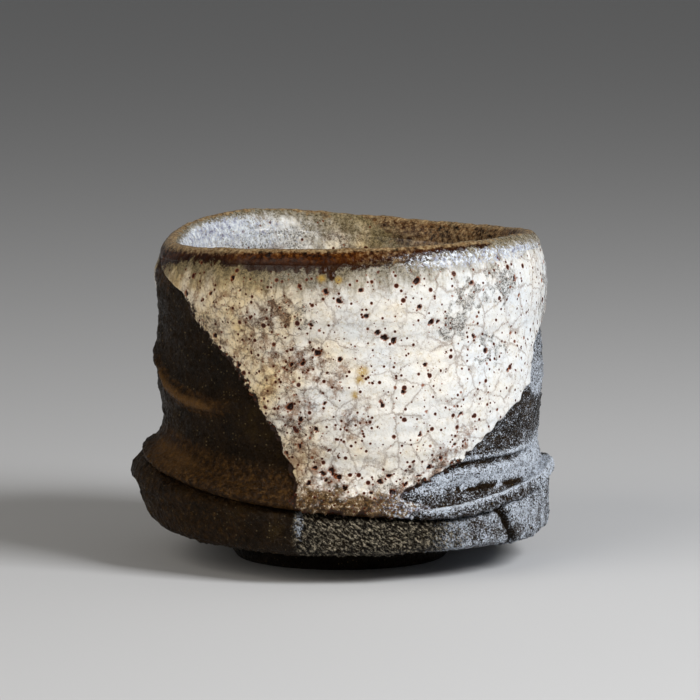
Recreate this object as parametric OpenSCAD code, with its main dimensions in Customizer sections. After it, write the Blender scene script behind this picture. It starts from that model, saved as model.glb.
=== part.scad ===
// Guinomi, a small stoneware sake cup.
// A thrown wall flares out into a skirt that overhangs a knife-cut base, and a turned foot ring lifts
// the base off the table. Glaze lies over the bare dark clay in separate coats: a white lining, two
// white dips outside that leave bare wedges of clay between them, and an iron-brown band over the lip.
// Sizes are in millimetres and angles in degrees. Angles round the cup start at the right (+X) and
// run anticlockwise, so that the front is at 270. The origin is the centre of the foot ring, on the
// table.

/* [Wall] */
// Outer radius of the wall at mid height
wall_r = 32.2; // [28:0.1:37]
// Height of the lip above the seam under the skirt
wall_h = 39.7; // [34:0.1:46]
// Rise and fall of the lip round the cup
lip_wave = 1.4; // [0:0.1:1.6]
// Thickness of the wall just under the lip
lip_t = 3.3; // [2.8:0.1:3.9]
// Thickness of the wall at mid height
wall_t = 4.1; // [3.4:0.1:4.9]
// Thickness of the wall at the waist
waist_t = 5.3; // [4.4:0.1:6.3]
// How far the waist is drawn in from the wall
waist_inset = 0.9; // [0:0.05:1.5]
// How far the wall stands off to the right of the foot
wall_lean = 1.4; // [0:0.1:1.8]
// How far the lip is drawn in from the wall
lip_inset = 0.8; // [0:0.05:1.2]

/* [Skirt] */
// How far the skirt reaches out past the wall
skirt_out = 2.0; // [1.5:0.1:2.6]
// In and out wander of the skirt's edge
skirt_wave = 0.8; // [0:0.1:1]
// Height of the flare, from the seam to the waist
flare_h = 6.6; // [5.5:0.1:7.5]
// Thickness of the skirt's rolled edge
skirt_edge_t = 2.0; // [1.7:0.1:2.4]
// Depth of the groove that runs under the skirt's edge
groove_depth = 2.1; // [1.8:0.1:2.5]
// Height that the groove is open at the skirt's edge
groove_open = 0.5; // [0.3:0.05:0.6]

/* [Base] */
// Height of the seam above the underside of the base
seam_h = 9.5; // [8.6:0.1:11]
// Rise and fall of the seam round the cup
seam_wave = 3.9; // [0:0.1:4.4]
// How far the side of the base stands out from the wall
base_out = 1.9; // [1.4:0.1:2.5]
// In and out wander of the side of the base
base_wave = 1.0; // [0:0.1:1.2]
// Thickness of the floor over the foot
floor_t = 6.1; // [5:0.1:7.3]
// How far the floor's rounded corner comes in from the wall's outside
corner_inset = 8.7; // [7.2:0.1:10.3]
// Rise of the floor's rounded corner
corner_rise = 2.9; // [2.4:0.1:3.4]
// Depth of the flats that the knife cut round the base
flat_depth = 0.9; // [0:0.1:1.1]
// Rounding under the base where the knife turned it sharply
base_turn = 1.1; // [0.9:0.1:1.4]
// Rounding under the base at the left, where it is bowl-shaped
bowl_turn = 6.5; // [5.4:0.1:7.7]
// Clay rolled out past the base's side at the left
roll_out = 1.6; // [0:0.1:1.9]
// Height of the base's edge above its flat underside
edge_rise = 0.9; // [0:0.1:1.1]
// Depth of the crack in the base's side at the right
crack_depth = 1.3; // [0:0.1:1.6]

/* [Clay lap] */
// Thickness of the strip of clay lapped over the skirt's edge at the right
lap_t = 1.2; // [0.9:0.1:1.5]

/* [Foot ring] */
// Outer radius of the foot ring where it stands
foot_r = 18.0; // [15:0.1:21]
// Height of the foot ring
foot_h = 4.2; // [3.5:0.1:5]
// Width of the foot ring's standing face and its bevels
foot_w = 4.6; // [3.8:0.1:5.5]
// Bevel on both lower edges of the foot ring
foot_bevel = 0.6; // [0.4:0.05:0.8]
// How far the foot ring's sides spread towards the base
foot_spread = 0.7; // [0:0.1:0.9]
// Drop of the turned nub at the centre of the foot
nub_h = 0.7; // [0:0.1:0.9]
// Radius of that nub
nub_r = 3.4; // [2.8:0.1:4]

/* [Glaze] */
// Thickness of the white glaze outside
dip_t = 0.75; // [0.6:0.05:0.9]
// Thickness of the white glaze inside
lining_t = 0.55; // [0.45:0.05:0.7]
// Thickness of the brown glaze over the lip
rim_t = 0.45; // [0.35:0.05:0.55]
// Reach of the brown band down the outside, from the top of the lip
rim_drop_out = 2.4; // [2:0.1:3]
// Reach of the brown band down the inside
rim_drop_in = 3.6; // [3:0.1:4.4]
// Height of the white glaze's hem above the seam
hem_h = 2.9; // [2.5:0.1:3.5]
// Width over which the white glaze thins to its edge
thin_w = 0.9; // [0.7:0.05:1.1]
// Thickness of the white glaze at its very edge
thin_t = 0.2; // [0.15:0.05:0.25]

/* [Hidden] */

// Room left between one fired layer and the next
layer_gap = 0.1;
// Room between the two coats of glaze where they meet end to end
butt_gap = 0.12;

// Angle between two steps round the cup
step_angle = 8;
// Where the crack in the base is, and half the angle that it opens over
crack_angle = 321;
crack_open_angle = 2.4;
crack_angles = [for (side = [-1, -1 / 3, 1 / 3, 1]) crack_angle + crack_open_angle * side];
crack_room_angle = crack_open_angle + step_angle / 3;
even_angles = [0 : step_angle : 360 - step_angle];
angles = concat(
    [for (t = even_angles) if (t < crack_angle - crack_room_angle) t],
    crack_angles,
    [for (t = even_angles) if (t > crack_angle + crack_room_angle) t]
);

// Steps along each stretch of an outline
fine_steps = 2;

// Wander round the cup, one share for each 30 degrees from the right
lip_shares = [0.15, -0.45, -0.45, 0.25, 1.1, 0.4, -0.85, -0.7, -0.2, 0.1, 0.35, 0.55];
wall_shares = [0, 0.2, -0.3, -0.6, -0.3, -0.4, -0.8, -0.6, -0.5, -0.6, -0.3, 0.1];
skirt_shares = [0, -0.2, 0.1, 0.3, 0.1, -0.5, -1.3, -0.2, 0.4, 0.6, 0.6, 0.2];
seam_shares = [0, 0.05, 0.1, 0.15, 0.3, 0.55, 0.8, 0.42, -0.2, -0.62, -0.87, -0.46];
base_shares = [0.45, 0.3, 0.1, 0.1, 0, -0.2, -0.5, -0.3, 0.1, 0.2, 0.3, 0.4];
roll_shares = [0.1, 0.05, 0.1, 0.2, 0.4, 0.8, 1, 0.7, 0.3, 0.15, 0.1, 0.2];
turn_shares = [0, 0.02, 0.08, 0.2, 0.42, 0.8, 1, 0.62, 0.2, 0.04, 0.02, 0];

// Outline of the wall above the waist: share of its height, and share of waist_inset that it has regained
wall_outline_shares = [[0.1, 0.5], [0.24, 0.95], [0.41, 1.05], [0.6, 0.5], [0.83, 1]];
// Outline of the inside, down from the band: share of the wall's height, and share from lip_t to wall_t
inside_shares = [[0.72, 0.5], [0.45, 1]];
// Floor from its centre to its corner: share of the radius, and share of the corner's rise
floor_shares = [[0, 0], [0.45, 0.04], [0.8, 0.33]];
// Radius at the hem of the white glaze, as a share of the way from the waist out to the skirt's edge
hem_out_share = 0.45;
// Where the lip's rounding starts, and how far its sides are drawn in, as shares of lip_t
lip_round_share = 0.36;
lip_side_share = 0.12;

// Inside low down: share of the wall's height where it is waist_t thick, and the place of the next point
// as shares of the way out and up from the floor's corner
low_up_share = 0.2;
corner_out_share = 0.7;
corner_up_share = 0.4;
// Bulge of the rolled clay: share of roll_out, and share of the way down from the seam to the edge
roll_outline_shares = [[0.7, 0.1], [1, 0.24]];
// Foot of that bulge: share of roll_out, and share of the way up from the rounding to the seam
low_roll_share = 0.25;
low_roll_up_share = 0.28;
// Where the middle of a quarter round lies, as a share of its radius
arc_share = 1 - cos(45);
// Nub under the foot, from its edge to its centre: shares of nub_r and of nub_h
nub_shares = [[1, 0], [0.6, 0.45], [0.25, 0.9], [0, 1]];

// Flats on the base's side: angle, and share of flat_depth
flats = [[20, 0.6], [58, 0.8], [97, 0.7], [133, 0.5], [236, 1], [271, 0.3], [299, 0.8], [343, 0.4]];

// Edges of the white dips, at equal shares of the height from hem to band
front_from_angles = [257, 254.8, 249.5, 242, 233.5, 222, 214.5, 190];
front_to_angles = [286, 304, 319.5, 335, 339, 356, 373, 386];
back_from_angles = [76, 68, 56, 42, 28, 12, 22, 30];
back_to_angles = [106, 117, 129, 141, 152, 164, 176, 187];
// Widest angle between two steps across a dip of white glaze
dip_step_angle = 7.5;

// Where the clay lap starts and ends
lap_from_angle = 288;
lap_to_angle = 378;

// Heights that follow from the sizes above
base_z = foot_h + layer_gap;
seam_mid_z = base_z + seam_h;
floor_z = base_z + floor_t;
edge_z = base_z + edge_rise;
// The floor's corner, where the base meets the inside of the wall: distance from the axis, and height
floor_corner = [wall_r - corner_inset, floor_z + corner_rise];

clay = [0.17, 0.15, 0.13];
raw_clay = [0.22, 0.19, 0.17];
white_glaze = [0.87, 0.84, 0.79];
brown_glaze = [0.38, 0.24, 0.12];

// The value at angle t of a table of equally spaced values round the cup
function around(table, t) =
    let (
        n = len(table),
        at = ((t % 360) + 360) % 360 * n / 360,
        i = floor(at),
        f = at - i,
        a = table[(i + n - 1) % n],
        b = table[i % n],
        c = table[(i + 1) % n],
        d = table[(i + 2) % n]
    )
    b + f / 2 * (c - a + f * (2 * a - 5 * b + 4 * c - d + f * (3 * (b - c) + d - a)));

// The value at share s, from 0 to 1, along an open table of equally spaced values
function along(table, s) =
    let (
        last = len(table) - 1,
        i = min(floor(s * last), last - 1),
        f = s * last - i,
        a = table[max(i - 1, 0)],
        b = table[i],
        c = table[i + 1],
        d = table[min(i + 2, last)]
    )
    b + f / 2 * (c - a + f * (2 * a - 5 * b + 4 * c - d + f * (3 * (b - c) + d - a)));

function mix(a, b, f) = a + (b - a) * f;

// The direction of a smooth curve at point i of its outline
function heading(p, i) =
    i == 0 ? (p[1] - p[0]) / norm(p[1] - p[0]) :
    i == len(p) - 1 ? (p[i] - p[i - 1]) / norm(p[i] - p[i - 1]) :
    let (before = norm(p[i] - p[i - 1]), after = norm(p[i + 1] - p[i]))
    ((p[i] - p[i - 1]) / before * after + (p[i + 1] - p[i]) / after * before) / (before + after);

// A smooth curve through the points p, with n steps in each stretch
function smooth(p, n = fine_steps) = [
    for (i = [0 : len(p) - 2])
        let (reach = norm(p[i + 1] - p[i]), m0 = heading(p, i) * reach, m1 = heading(p, i + 1) * reach)
        for (k = [0 : n - (i == len(p) - 2 ? 0 : 1)])
            let (f = k / n, g = 1 - f)
            g * g * (1 + 2 * f) * p[i] + f * f * (3 - 2 * f) * p[i + 1] + f * g * (g * m0 - f * m1)
];

// The points of an outline moved d to the left of the way that it runs
function beside(p, d) = [
    for (i = [0 : len(p) - 1])
        let (way = p[min(i + 1, len(p) - 1)] - p[max(i - 1, 0)])
        p[i] + d * [-way.y, way.x] / norm(way)
];

function back_to_front(p) = [for (i = [len(p) - 1 : -1 : 0]) p[i]];

// The point at distance d from a towards b
function toward(a, b, d) = a + (b - a) * d / norm(b - a);

// A quarter circle's rise, from 0 at f = 0 to 1 from f = 1 on
function rounded(f) = let (g = min(1, max(0, f))) sqrt(g * (2 - g));

// A point of an outline, [distance from the axis, height], set at angle t
function place(p, t) = [p.x * cos(t), p.x * sin(t), p.y];

// Sizes of the clay at angle t
function lean(t) = wall_lean * cos(t);
function wall_radius(t) = wall_r + lean(t) + lip_t * lip_side_share * around(wall_shares, t);
function waist_radius(t) = wall_radius(t) - waist_inset;
function lip_radius(t) = wall_radius(t) - lip_inset;
function skirt_radius(t) = wall_r + skirt_out + skirt_wave * around(skirt_shares, t);
function seam_z(t) = seam_mid_z + seam_wave * around(seam_shares, t);
function lip_z(t) = seam_mid_z + wall_h + lip_wave * around(lip_shares, t);
function groove_root(t) = [skirt_radius(t) - groove_depth, seam_z(t)];
function turn(t) = mix(base_turn, bowl_turn, around(turn_shares, t));

// Angle between two directions round the cup
function apart(a, b) = abs(((a - b) % 360 + 540) % 360 - 180);
function in_crack(t) = apart(t, crack_angle) < crack_open_angle / 2 ? crack_depth : 0;
// Radius at angle t that is left by the flats that face the same way
function flat_cut(r, t) = min([
    for (f = flats)
        let (facing = cos(t - f[0]))
        if (facing > 0) (r - flat_depth * f[1]) / facing
]);
function base_radius(t) =
    let (r = wall_r + base_out + base_wave * around(base_shares, t))
    min(r, flat_cut(r, t)) - in_crack(t);

// Outside of the wall, from the groove under the skirt up to the brown band
function outside_points(t) =
    let (
        z = seam_z(t),
        k = skirt_radius(t),
        w = waist_radius(t),
        waist_z = z + flare_h,
        band_z = lip_z(t) - rim_drop_out
    )
    concat(
        [
            [k - groove_depth, z + layer_gap],
            [k - skirt_edge_t / 4, z + groove_open],
            [k, z + skirt_edge_t / 2],
            [k - skirt_edge_t / 3, z + skirt_edge_t],
            [mix(w, k, hem_out_share), z + hem_h],
            [w, waist_z]
        ],
        [for (s = wall_outline_shares) [w + waist_inset * s[1], mix(waist_z, band_z, s[0])]],
        [[lip_radius(t), band_z]]
    );

// Over the lip, from the outer edge of the brown band to its inner edge
function lip_points(t) =
    let (r = lip_radius(t), z = lip_z(t), side = lip_t * lip_side_share, drop = lip_t * lip_round_share)
    [
        [r - side, z - drop],
        [r - lip_t / 2, z],
        [r - lip_t + side, z - drop],
        [r - lip_t, z - rim_drop_in]
    ];

// Inside of the wall, from the brown band down to the floor's corner
function inside_points(t) =
    let (
        r = wall_radius(t),
        z = seam_z(t) + flare_h,
        corner = floor_corner,
        low_r = waist_radius(t) - waist_t
    )
    concat(
        [
            for (s = inside_shares)
                [r - mix(lip_t, wall_t, s[1]) - lip_inset * (1 - s[1]), mix(z, lip_z(t), s[0])]
        ],
        [
            [low_r, mix(seam_mid_z, lip_z(t), low_up_share)],
            [mix(corner.x, low_r, corner_out_share), mix(corner.y, seam_mid_z + flare_h, corner_up_share)],
            [corner.x, corner.y + layer_gap]
        ]
    );

// Rows at which the lap and the coats of glaze start and end, counted along wall_outline. The lap runs
// from the lower to the upper side of the skirt's rolled edge, and the white dips start at the next point.
lap_low_row = fine_steps;
lap_high_row = lap_low_row + 2 * fine_steps;
hem_row = lap_high_row + fine_steps;
band_row = (len(outside_points(0)) - 1) * fine_steps;
lining_row = band_row + len(lip_points(0)) * fine_steps;
function wall_outline(t) = smooth(concat(outside_points(t), lip_points(t), inside_points(t)));

// Floor of the base, from its centre to the seat of the wall
function floor_outline() =
    smooth(concat(
        [for (s = floor_shares) [floor_corner.x * s[0], mix(floor_z, floor_corner.y, s[1])]],
        [floor_corner]
    ));

// Side of the base, from the groove down and in to the flat underside
function side_outline(t) =
    let (
        z = seam_z(t),
        r = base_radius(t),
        roll = roll_out * around(roll_shares, t),
        round_in = turn(t),
        side_h = z - edge_z
    )
    smooth([
        groove_root(t),
        [r - groove_open, z - groove_open / 2],
        for (s = roll_outline_shares) [r + roll * s[0], z - side_h * s[1]],
        [r + roll * low_roll_share, mix(edge_z + round_in, z, low_roll_up_share)],
        [r, edge_z + round_in],
        [r - round_in * arc_share, edge_z + round_in * arc_share],
        [r - round_in, edge_z]
    ]);

// Underside of the base, from the foot ring's seat in to the nub at the centre
function under_outline() = [
    [foot_r + foot_spread + foot_bevel, base_z],
    [(foot_r + nub_r) / 2, base_z],
    for (s = nub_shares) [nub_r * s[0], base_z - nub_h * s[1]]
];

// A ring: one closed outline [distance, height] for each of the angles, joined round the cup
module ring(outlines) {
    n = len(outlines);
    m = len(outlines[0]);
    polyhedron(
        points = [for (j = [0 : n - 1]) for (p = outlines[j]) place(p, angles[j])],
        faces = [
            for (j = [0 : n - 1])
                for (i = [0 : m - 1])
                    let (a = j * m + i, b = j * m + (i + 1) % m, k = (j + 1) % n * m)
                    for (f = [[a, b, k + (i + 1) % m], [a, k + (i + 1) % m, k + i]]) f
        ]
    );
}

// A turned solid: like a ring, but each outline starts on the axis, runs out over the top of the solid
// and comes back to the axis underneath
module turned(outlines) {
    n = len(outlines);
    m = len(outlines[0]) - 2;
    last = len(outlines[0]) - 1;
    top = n * m;
    polyhedron(
        points = concat(
            [for (j = [0 : n - 1]) for (i = [1 : m]) place(outlines[j][i], angles[j])],
            [place(outlines[0][0], 0), place(outlines[0][last], 0)]
        ),
        faces = concat(
            [
                for (j = [0 : n - 1])
                    for (i = [0 : m - 2])
                        let (a = j * m + i, k = (j + 1) % n * m + i)
                        for (f = [[k + 1, a + 1, a], [k, k + 1, a]]) f
            ],
            [for (j = [0 : n - 1]) [j * m, top, (j + 1) % n * m]],
            [for (j = [0 : n - 1]) [(j + 1) % n * m + m - 1, top + 1, j * m + m - 1]]
        )
    );
}

// A patch: a sheet of points, column by column, with a second sheet behind it, closed round the edge
module patch(face, behind) {
    n = len(face);
    m = len(face[0]);
    far = n * m;
    polyhedron(
        points = concat([for (c = face) for (p = c) p], [for (c = behind) for (p = c) p]),
        faces = concat(
            [
                for (j = [0 : n - 2])
                    for (i = [0 : m - 2])
                        let (a = j * m + i, b = a + m)
                        for (f = [
                            [a, a + 1, b + 1],
                            [a, b + 1, b],
                            [far + b + 1, far + a + 1, far + a],
                            [far + b, far + b + 1, far + a]
                        ]) f
            ],
            [
                for (j = [0 : n - 2])
                    let (a = j * m, b = a + m, c = a + m - 1, d = b + m - 1)
                    for (f = [
                        [a, b, far + b],
                        [a, far + b, far + a],
                        [d, c, far + c],
                        [d, far + c, far + d]
                    ]) f
            ],
            [
                for (i = [0 : m - 2])
                    let (a = i, c = far - m + i)
                    for (f = [
                        [a + 1, a, far + a],
                        [a + 1, far + a, far + a + 1],
                        [c, c + 1, far + c + 1],
                        [c, far + c + 1, far + c]
                    ]) f
            ]
        )
    );
}

module wall() {
    color(clay) ring([for (t = angles) wall_outline(t)]);
}

module base() {
    color(clay) turned([for (t = angles) concat(floor_outline(), side_outline(t), under_outline())]);
}

// The foot ring, turned on the wheel, with the centre cut out
module foot_ring() {
    inner_r = foot_r - foot_w;
    color(raw_clay) rotate_extrude($fn = 96) polygon([
        [inner_r + foot_bevel, 0],
        [foot_r - foot_bevel, 0],
        [foot_r, foot_bevel],
        [foot_r + foot_spread, foot_h],
        [inner_r - foot_spread, foot_h],
        [inner_r, foot_bevel]
    ]);
}

// The outline of the wall's outside pushed out by d, at angle t
function coat_outline(t, d) = beside(wall_outline(t), -d);

// Half of a circle's rise over share s, from 0 at both ends to 1 in the middle
function swell(s) = sqrt(max(0, sin(180 * s)));

// The strip of clay lapped over the skirt's edge at the right, thickest at its middle
module clay_lap() {
    two_turns = concat(angles, [for (t = angles) t + 360]);
    stops = [for (t = two_turns) if (t >= lap_from_angle && t <= lap_to_angle) t];
    function share_along(t) = (t - lap_from_angle) / (lap_to_angle - lap_from_angle);
    function thick(t, s) = mix(thin_t, lap_t, swell(share_along(t)) * swell(s));
    function strip(out) = [
        for (t = stops) [
            for (i = [lap_low_row : lap_high_row])
                let (s = (i - lap_low_row) / (lap_high_row - lap_low_row))
                place(coat_outline(t, layer_gap + (out ? thick(t, s) : 0))[i], t)
        ]
    ];
    color(clay) patch(strip(true), strip(false));
}

module lining_glaze() {
    function bowl(t) =
        let (p = wall_outline(t))
        concat(
            floor_outline(),
            back_to_front([for (i = [lining_row + 1 : len(p) - 2]) p[i]]),
            [toward(p[lining_row], p[lining_row + 1], butt_gap)]
        );
    function closed(p) = concat([[0, p[0].y]], [for (i = [1 : len(p) - 1]) p[i]]);
    color(white_glaze) turned([
        for (t = angles)
            concat(
                closed(beside(bowl(t), layer_gap + lining_t)),
                back_to_front(closed(beside(bowl(t), layer_gap)))
            )
    ]);
}

module rim_glaze() {
    function over_lip(t) = [for (i = [band_row : lining_row]) i];
    color(brown_glaze) ring([
        for (t = angles)
            let (near = coat_outline(t, layer_gap), far = coat_outline(t, layer_gap + rim_t))
            concat([for (i = over_lip(t)) far[i]], back_to_front([for (i = over_lip(t)) near[i]]))
    ]);
}

// A dip of white glaze, from the edge table from round to the edge table to. Its rows are the wall's
// own from the hem to the brown band, and it thins to its edges.
module dip(from, to) {
    middle = wall_outline((from[0] + to[0]) / 2);
    widest = max([for (i = [0 : len(from) - 1]) to[i] - from[i]]);
    across = ceil(widest / dip_step_angle);
    function share_up(i) = (middle[i].y - middle[hem_row].y) / (middle[band_row].y - middle[hem_row].y);
    function width(u) = (along(to, u) - along(from, u)) * wall_r * PI / 180;
    // Shares of the way across: the two edges, the lines where thinning starts, and even steps between
    function stops(u) =
        let (thin = thin_w / width(u))
        concat([0], [for (j = [0 : across]) mix(thin, 1 - thin, j / across)], [1]);
    function thickness(s, u, edge_t) =
        let (
            edge = min(s, 1 - s) * width(u),
            side = mix(thin_t, dip_t, rounded(edge / thin_w)),
            top = mix(edge_t, dip_t, rounded((1 - u) * wall_h / thin_w))
        )
        mix(thin_t, min(side, top), rounded(u * wall_h / thin_w));
    function sheet(out) = [
        for (j = [0 : across + 2]) [
            for (i = [hem_row : band_row])
                let (
                    u = share_up(i),
                    s = stops(u)[j],
                    t = mix(along(from, u), along(to, u), s),
                    p = coat_outline(t, layer_gap + (out ? thickness(s, u, rim_t) : 0))
                )
                place(i < band_row ? p[i] : toward(p[i], p[i - 1], butt_gap), t)
        ]
    ];
    color(white_glaze) patch(sheet(true), sheet(false));
}

module front_glaze() {
    dip(front_from_angles, front_to_angles);
}

module back_glaze() {
    dip(back_from_angles, back_to_angles);
}

wall();
base();
foot_ring();
clay_lap();
lining_glaze();
rim_glaze();
front_glaze();
back_glaze();
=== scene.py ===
import math

import bmesh
import bpy
import numpy as np
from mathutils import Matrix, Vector


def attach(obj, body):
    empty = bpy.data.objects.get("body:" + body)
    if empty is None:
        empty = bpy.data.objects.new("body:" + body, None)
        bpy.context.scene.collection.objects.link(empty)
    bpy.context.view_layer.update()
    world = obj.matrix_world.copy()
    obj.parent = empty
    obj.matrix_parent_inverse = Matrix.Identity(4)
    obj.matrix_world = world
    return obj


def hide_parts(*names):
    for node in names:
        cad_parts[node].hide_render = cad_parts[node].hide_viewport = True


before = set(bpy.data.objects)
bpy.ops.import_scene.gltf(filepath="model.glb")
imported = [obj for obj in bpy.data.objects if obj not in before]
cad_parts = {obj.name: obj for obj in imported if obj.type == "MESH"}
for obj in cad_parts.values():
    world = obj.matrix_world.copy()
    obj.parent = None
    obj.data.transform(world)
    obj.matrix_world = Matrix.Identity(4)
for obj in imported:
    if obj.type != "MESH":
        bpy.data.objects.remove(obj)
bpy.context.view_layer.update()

# A guinomi, a small stoneware sake cup. Sizes are in millimetres until a mesh is written, angles are in
# degrees from the right (+X) anticlockwise, so that the front is at 270, and a row is a place along an
# outline, counted in stretches between its points.
MM = 0.001

# Sizes of the clay body, the same as the CAD part's
WALL_R, WALL_H, WALL_LEAN = 32.2, 39.7, 1.4
LIP_WAVE, LIP_T, LIP_IN = 1.4, 3.3, 0.8
WALL_T, WAIST_T, WAIST_IN = 4.1, 5.3, 0.9
SKIRT_OUT, SKIRT_WAVE, SKIRT_EDGE_T = 2.0, 0.8, 2.0
FLARE_H, GROOVE_DEPTH, GROOVE_OPEN = 6.6, 2.1, 0.5
SEAM_H, SEAM_WAVE = 9.5, 3.9
BASE_OUT, BASE_WAVE, FLOOR_T = 1.9, 1.0, 6.1
CORNER_IN, CORNER_RISE = 8.7, 2.9
FLAT_DEPTH, BASE_TURN, BOWL_TURN, ROLL_OUT, EDGE_RISE = 0.9, 1.1, 6.5, 1.6, 0.9
CRACK_AT, CRACK_DEPTH = 321, 1.3
FOOT_R, FOOT_H, FOOT_W, FOOT_BEVEL, FOOT_SPREAD = 18.0, 4.2, 4.6, 0.6, 0.7
NUB_H, NUB_R = 0.7, 3.4
LAYER_GAP, DIP_T, LINING_T, RIM_T = 0.1, 0.75, 0.55, 0.45
RIM_DROP_OUT, RIM_DROP_IN, HEM_H = 2.4, 3.6, 2.9
LIP_ROUND, LIP_SIDE, HEM_OUT = 0.36, 0.12, 0.45
LAP_T, LAP_FROM, LAP_TO = 1.2, 288, 378

# Places that follow from them, and how far along the wall a degree is
BASE_Z = FOOT_H + LAYER_GAP
SEAM_MID_Z = BASE_Z + SEAM_H
FLOOR_Z = BASE_Z + FLOOR_T
EDGE_Z = BASE_Z + EDGE_RISE
CORNER_R = WALL_R - CORNER_IN
CORNER_Z = FLOOR_Z + CORNER_RISE
MM_TO_A_DEGREE = WALL_R * math.pi / 180

# Wander round the cup, one share for each 30 degrees from the right
LIP_SHARES = [0.15, -0.45, -0.45, 0.25, 1.1, 0.4, -0.85, -0.7, -0.2, 0.1, 0.35, 0.55]
WALL_SHARES = [0, 0.2, -0.3, -0.6, -0.3, -0.4, -0.8, -0.6, -0.5, -0.6, -0.3, 0.1]
SKIRT_SHARES = [0, -0.2, 0.1, 0.3, 0.1, -0.5, -1.3, -0.2, 0.4, 0.6, 0.6, 0.2]
SEAM_SHARES = [0, 0.05, 0.1, 0.15, 0.3, 0.55, 0.8, 0.42, -0.2, -0.62, -0.87, -0.46]
BASE_SHARES = [0.45, 0.3, 0.1, 0.1, 0, -0.2, -0.5, -0.3, 0.1, 0.2, 0.3, 0.4]
ROLL_SHARES = [0.1, 0.05, 0.1, 0.2, 0.4, 0.8, 1, 0.7, 0.3, 0.15, 0.1, 0.2]
TURN_SHARES = [0, 0.02, 0.08, 0.2, 0.42, 0.8, 1, 0.62, 0.2, 0.04, 0.02, 0]
# Rows of the wall's outside as shares up and out, of its inside as shares up and thick, and of the floor as
# shares out and up, and the flats that the knife cut: the middle and the depth of each
WALL_OUTLINE = [[0.1, 0.5], [0.24, 0.95], [0.41, 1.05], [0.6, 0.5], [0.83, 1]]
INSIDE = [[0.72, 0.5], [0.45, 1]]
FLOOR = [[0, 0], [0.45, 0.04], [0.8, 0.33]]
FLATS = [[20, 0.6], [58, 0.8], [97, 0.7], [133, 0.5], [236, 1], [271, 0.3], [299, 0.8], [343, 0.4]]
FLAT_REACH = 40

# Edges of the white dips, at equal shares of the height from hem to band
FRONT_FROM = [257, 254.8, 249.5, 242, 233.5, 222, 214.5, 190]
FRONT_TO = [286, 304, 319.5, 335, 339, 356, 373, 386]
BACK_FROM = [76, 68, 56, 42, 28, 12, 22, 30]
BACK_TO = [106, 117, 129, 141, 152, 164, 176, 187]

# Rows of the wall at the dips' hem, the brown band's lower edge, the lining's upper end, and the last one
HEM_ROW, BAND_ROW, LINING_ROW, LAST_ROW = 4, 11, 15, 20


# Curves

def blend3(a, b, c, d, f):
    """The value at the share f of the way from b to c, on a smooth curve through a, b, c and d."""
    return b + f / 2 * (c - a + f * (2 * a - 5 * b + 4 * c - d + f * (3 * (b - c) + d - a)))


def around(shares, t):
    """The value at angle t of a table of equally spaced values round the cup."""
    table = np.array(shares, float)
    n = len(table)
    at = np.mod(t, 360) * n / 360
    i = np.floor(at).astype(int)
    return blend3(table[(i - 1) % n], table[i % n], table[(i + 1) % n], table[(i + 2) % n], at - i)


def along(values, share):
    """The value at a share from 0 to 1 along an open table of equally spaced values."""
    table = np.array(values, float)
    last = len(table) - 1
    at = np.clip(share, 0, 1) * last
    i = np.minimum(np.floor(at).astype(int), last - 1)
    return blend3(table[np.maximum(i - 1, 0)], table[i], table[i + 1], table[np.minimum(i + 2, last)], at - i)


def mix(a, b, f):
    return a + (b - a) * f


def rounded(f):
    """A quarter circle's rise, from 0 at f = 0 to 1 from f = 1 on."""
    g = np.clip(f, 0, 1)
    return np.sqrt(g * (2 - g))


def ramp(x, low, high):
    """A soft step from 0 below low to 1 above high."""
    f = np.clip((x - low) / (high - low), 0, 1)
    return f * f * (3 - 2 * f)


def bell(x, width):
    """A bell curve, 1 where x is 0 and almost gone at twice the width."""
    return np.exp(-(x / width) ** 2)


def smooth_at(points, row):
    """The places [distance, height] at the given rows of the smooth curves through points."""
    last = len(points) - 1
    k = np.clip(np.floor(row).astype(int), 0, last - 1)
    f = (row - k)[:, None]
    each = np.arange(len(row))

    def pick(i):
        return points[np.clip(i, 0, last), each]

    a, b, c, d = pick(k - 1), pick(k), pick(k + 1), pick(k + 2)

    def size(v):
        return np.maximum(np.linalg.norm(v, axis=1, keepdims=True), 1e-9)

    first, middle, after = size(b - a), size(c - b), size(d - c)
    way = (c - b) / middle
    m0 = np.where((k == 0)[:, None], way, ((b - a) / first * middle + way * first) / (first + middle))
    m1 = np.where((k == last - 1)[:, None], way, (way * after + (d - c) / after * middle) / (middle + after))
    g = 1 - f
    return g * g * (1 + 2 * f) * b + f * f * (3 - 2 * f) * c + f * g * (g * m0 - f * m1) * middle


# Directions round the cup

def turned(t, at):
    """The turn from the direction at to the direction t, from -180 to 180 degrees."""
    return np.mod(t - at + 180, 360) - 180


def apart(t, at):
    return np.abs(turned(t, at))


def near(t, at, full, none):
    """1 within the angle full of the direction at, then softly down to 0 at the angle none."""
    return ramp(-apart(t, at), -none, -full)


def from_left(t):
    """The same direction as an angle from 180 to 540, which has no jump at the right."""
    return np.mod(t - 180, 360) + 180


# Sizes of the clay at angle t

def wall_radius(t):
    return WALL_R + WALL_LEAN * np.cos(np.radians(t)) + LIP_T * LIP_SIDE * around(WALL_SHARES, t)


def skirt_radius(t):
    return WALL_R + SKIRT_OUT + SKIRT_WAVE * around(SKIRT_SHARES, t)


def seam_z(t):
    return SEAM_MID_Z + SEAM_WAVE * around(SEAM_SHARES, t)


def lip_z(t):
    return SEAM_MID_Z + WALL_H + LIP_WAVE * around(LIP_SHARES, t)


def base_radius(t):
    """The base's edge, with the flats that the knife cut."""
    r = WALL_R + BASE_OUT + BASE_WAVE * around(BASE_SHARES, t)
    for at, depth in FLATS:
        gap = apart(t, at)
        cut = (r - FLAT_DEPTH * depth) / np.cos(np.radians(np.minimum(gap, FLAT_REACH)))
        r = np.where(gap < FLAT_REACH, np.minimum(r, cut), r)
    return r


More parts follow.
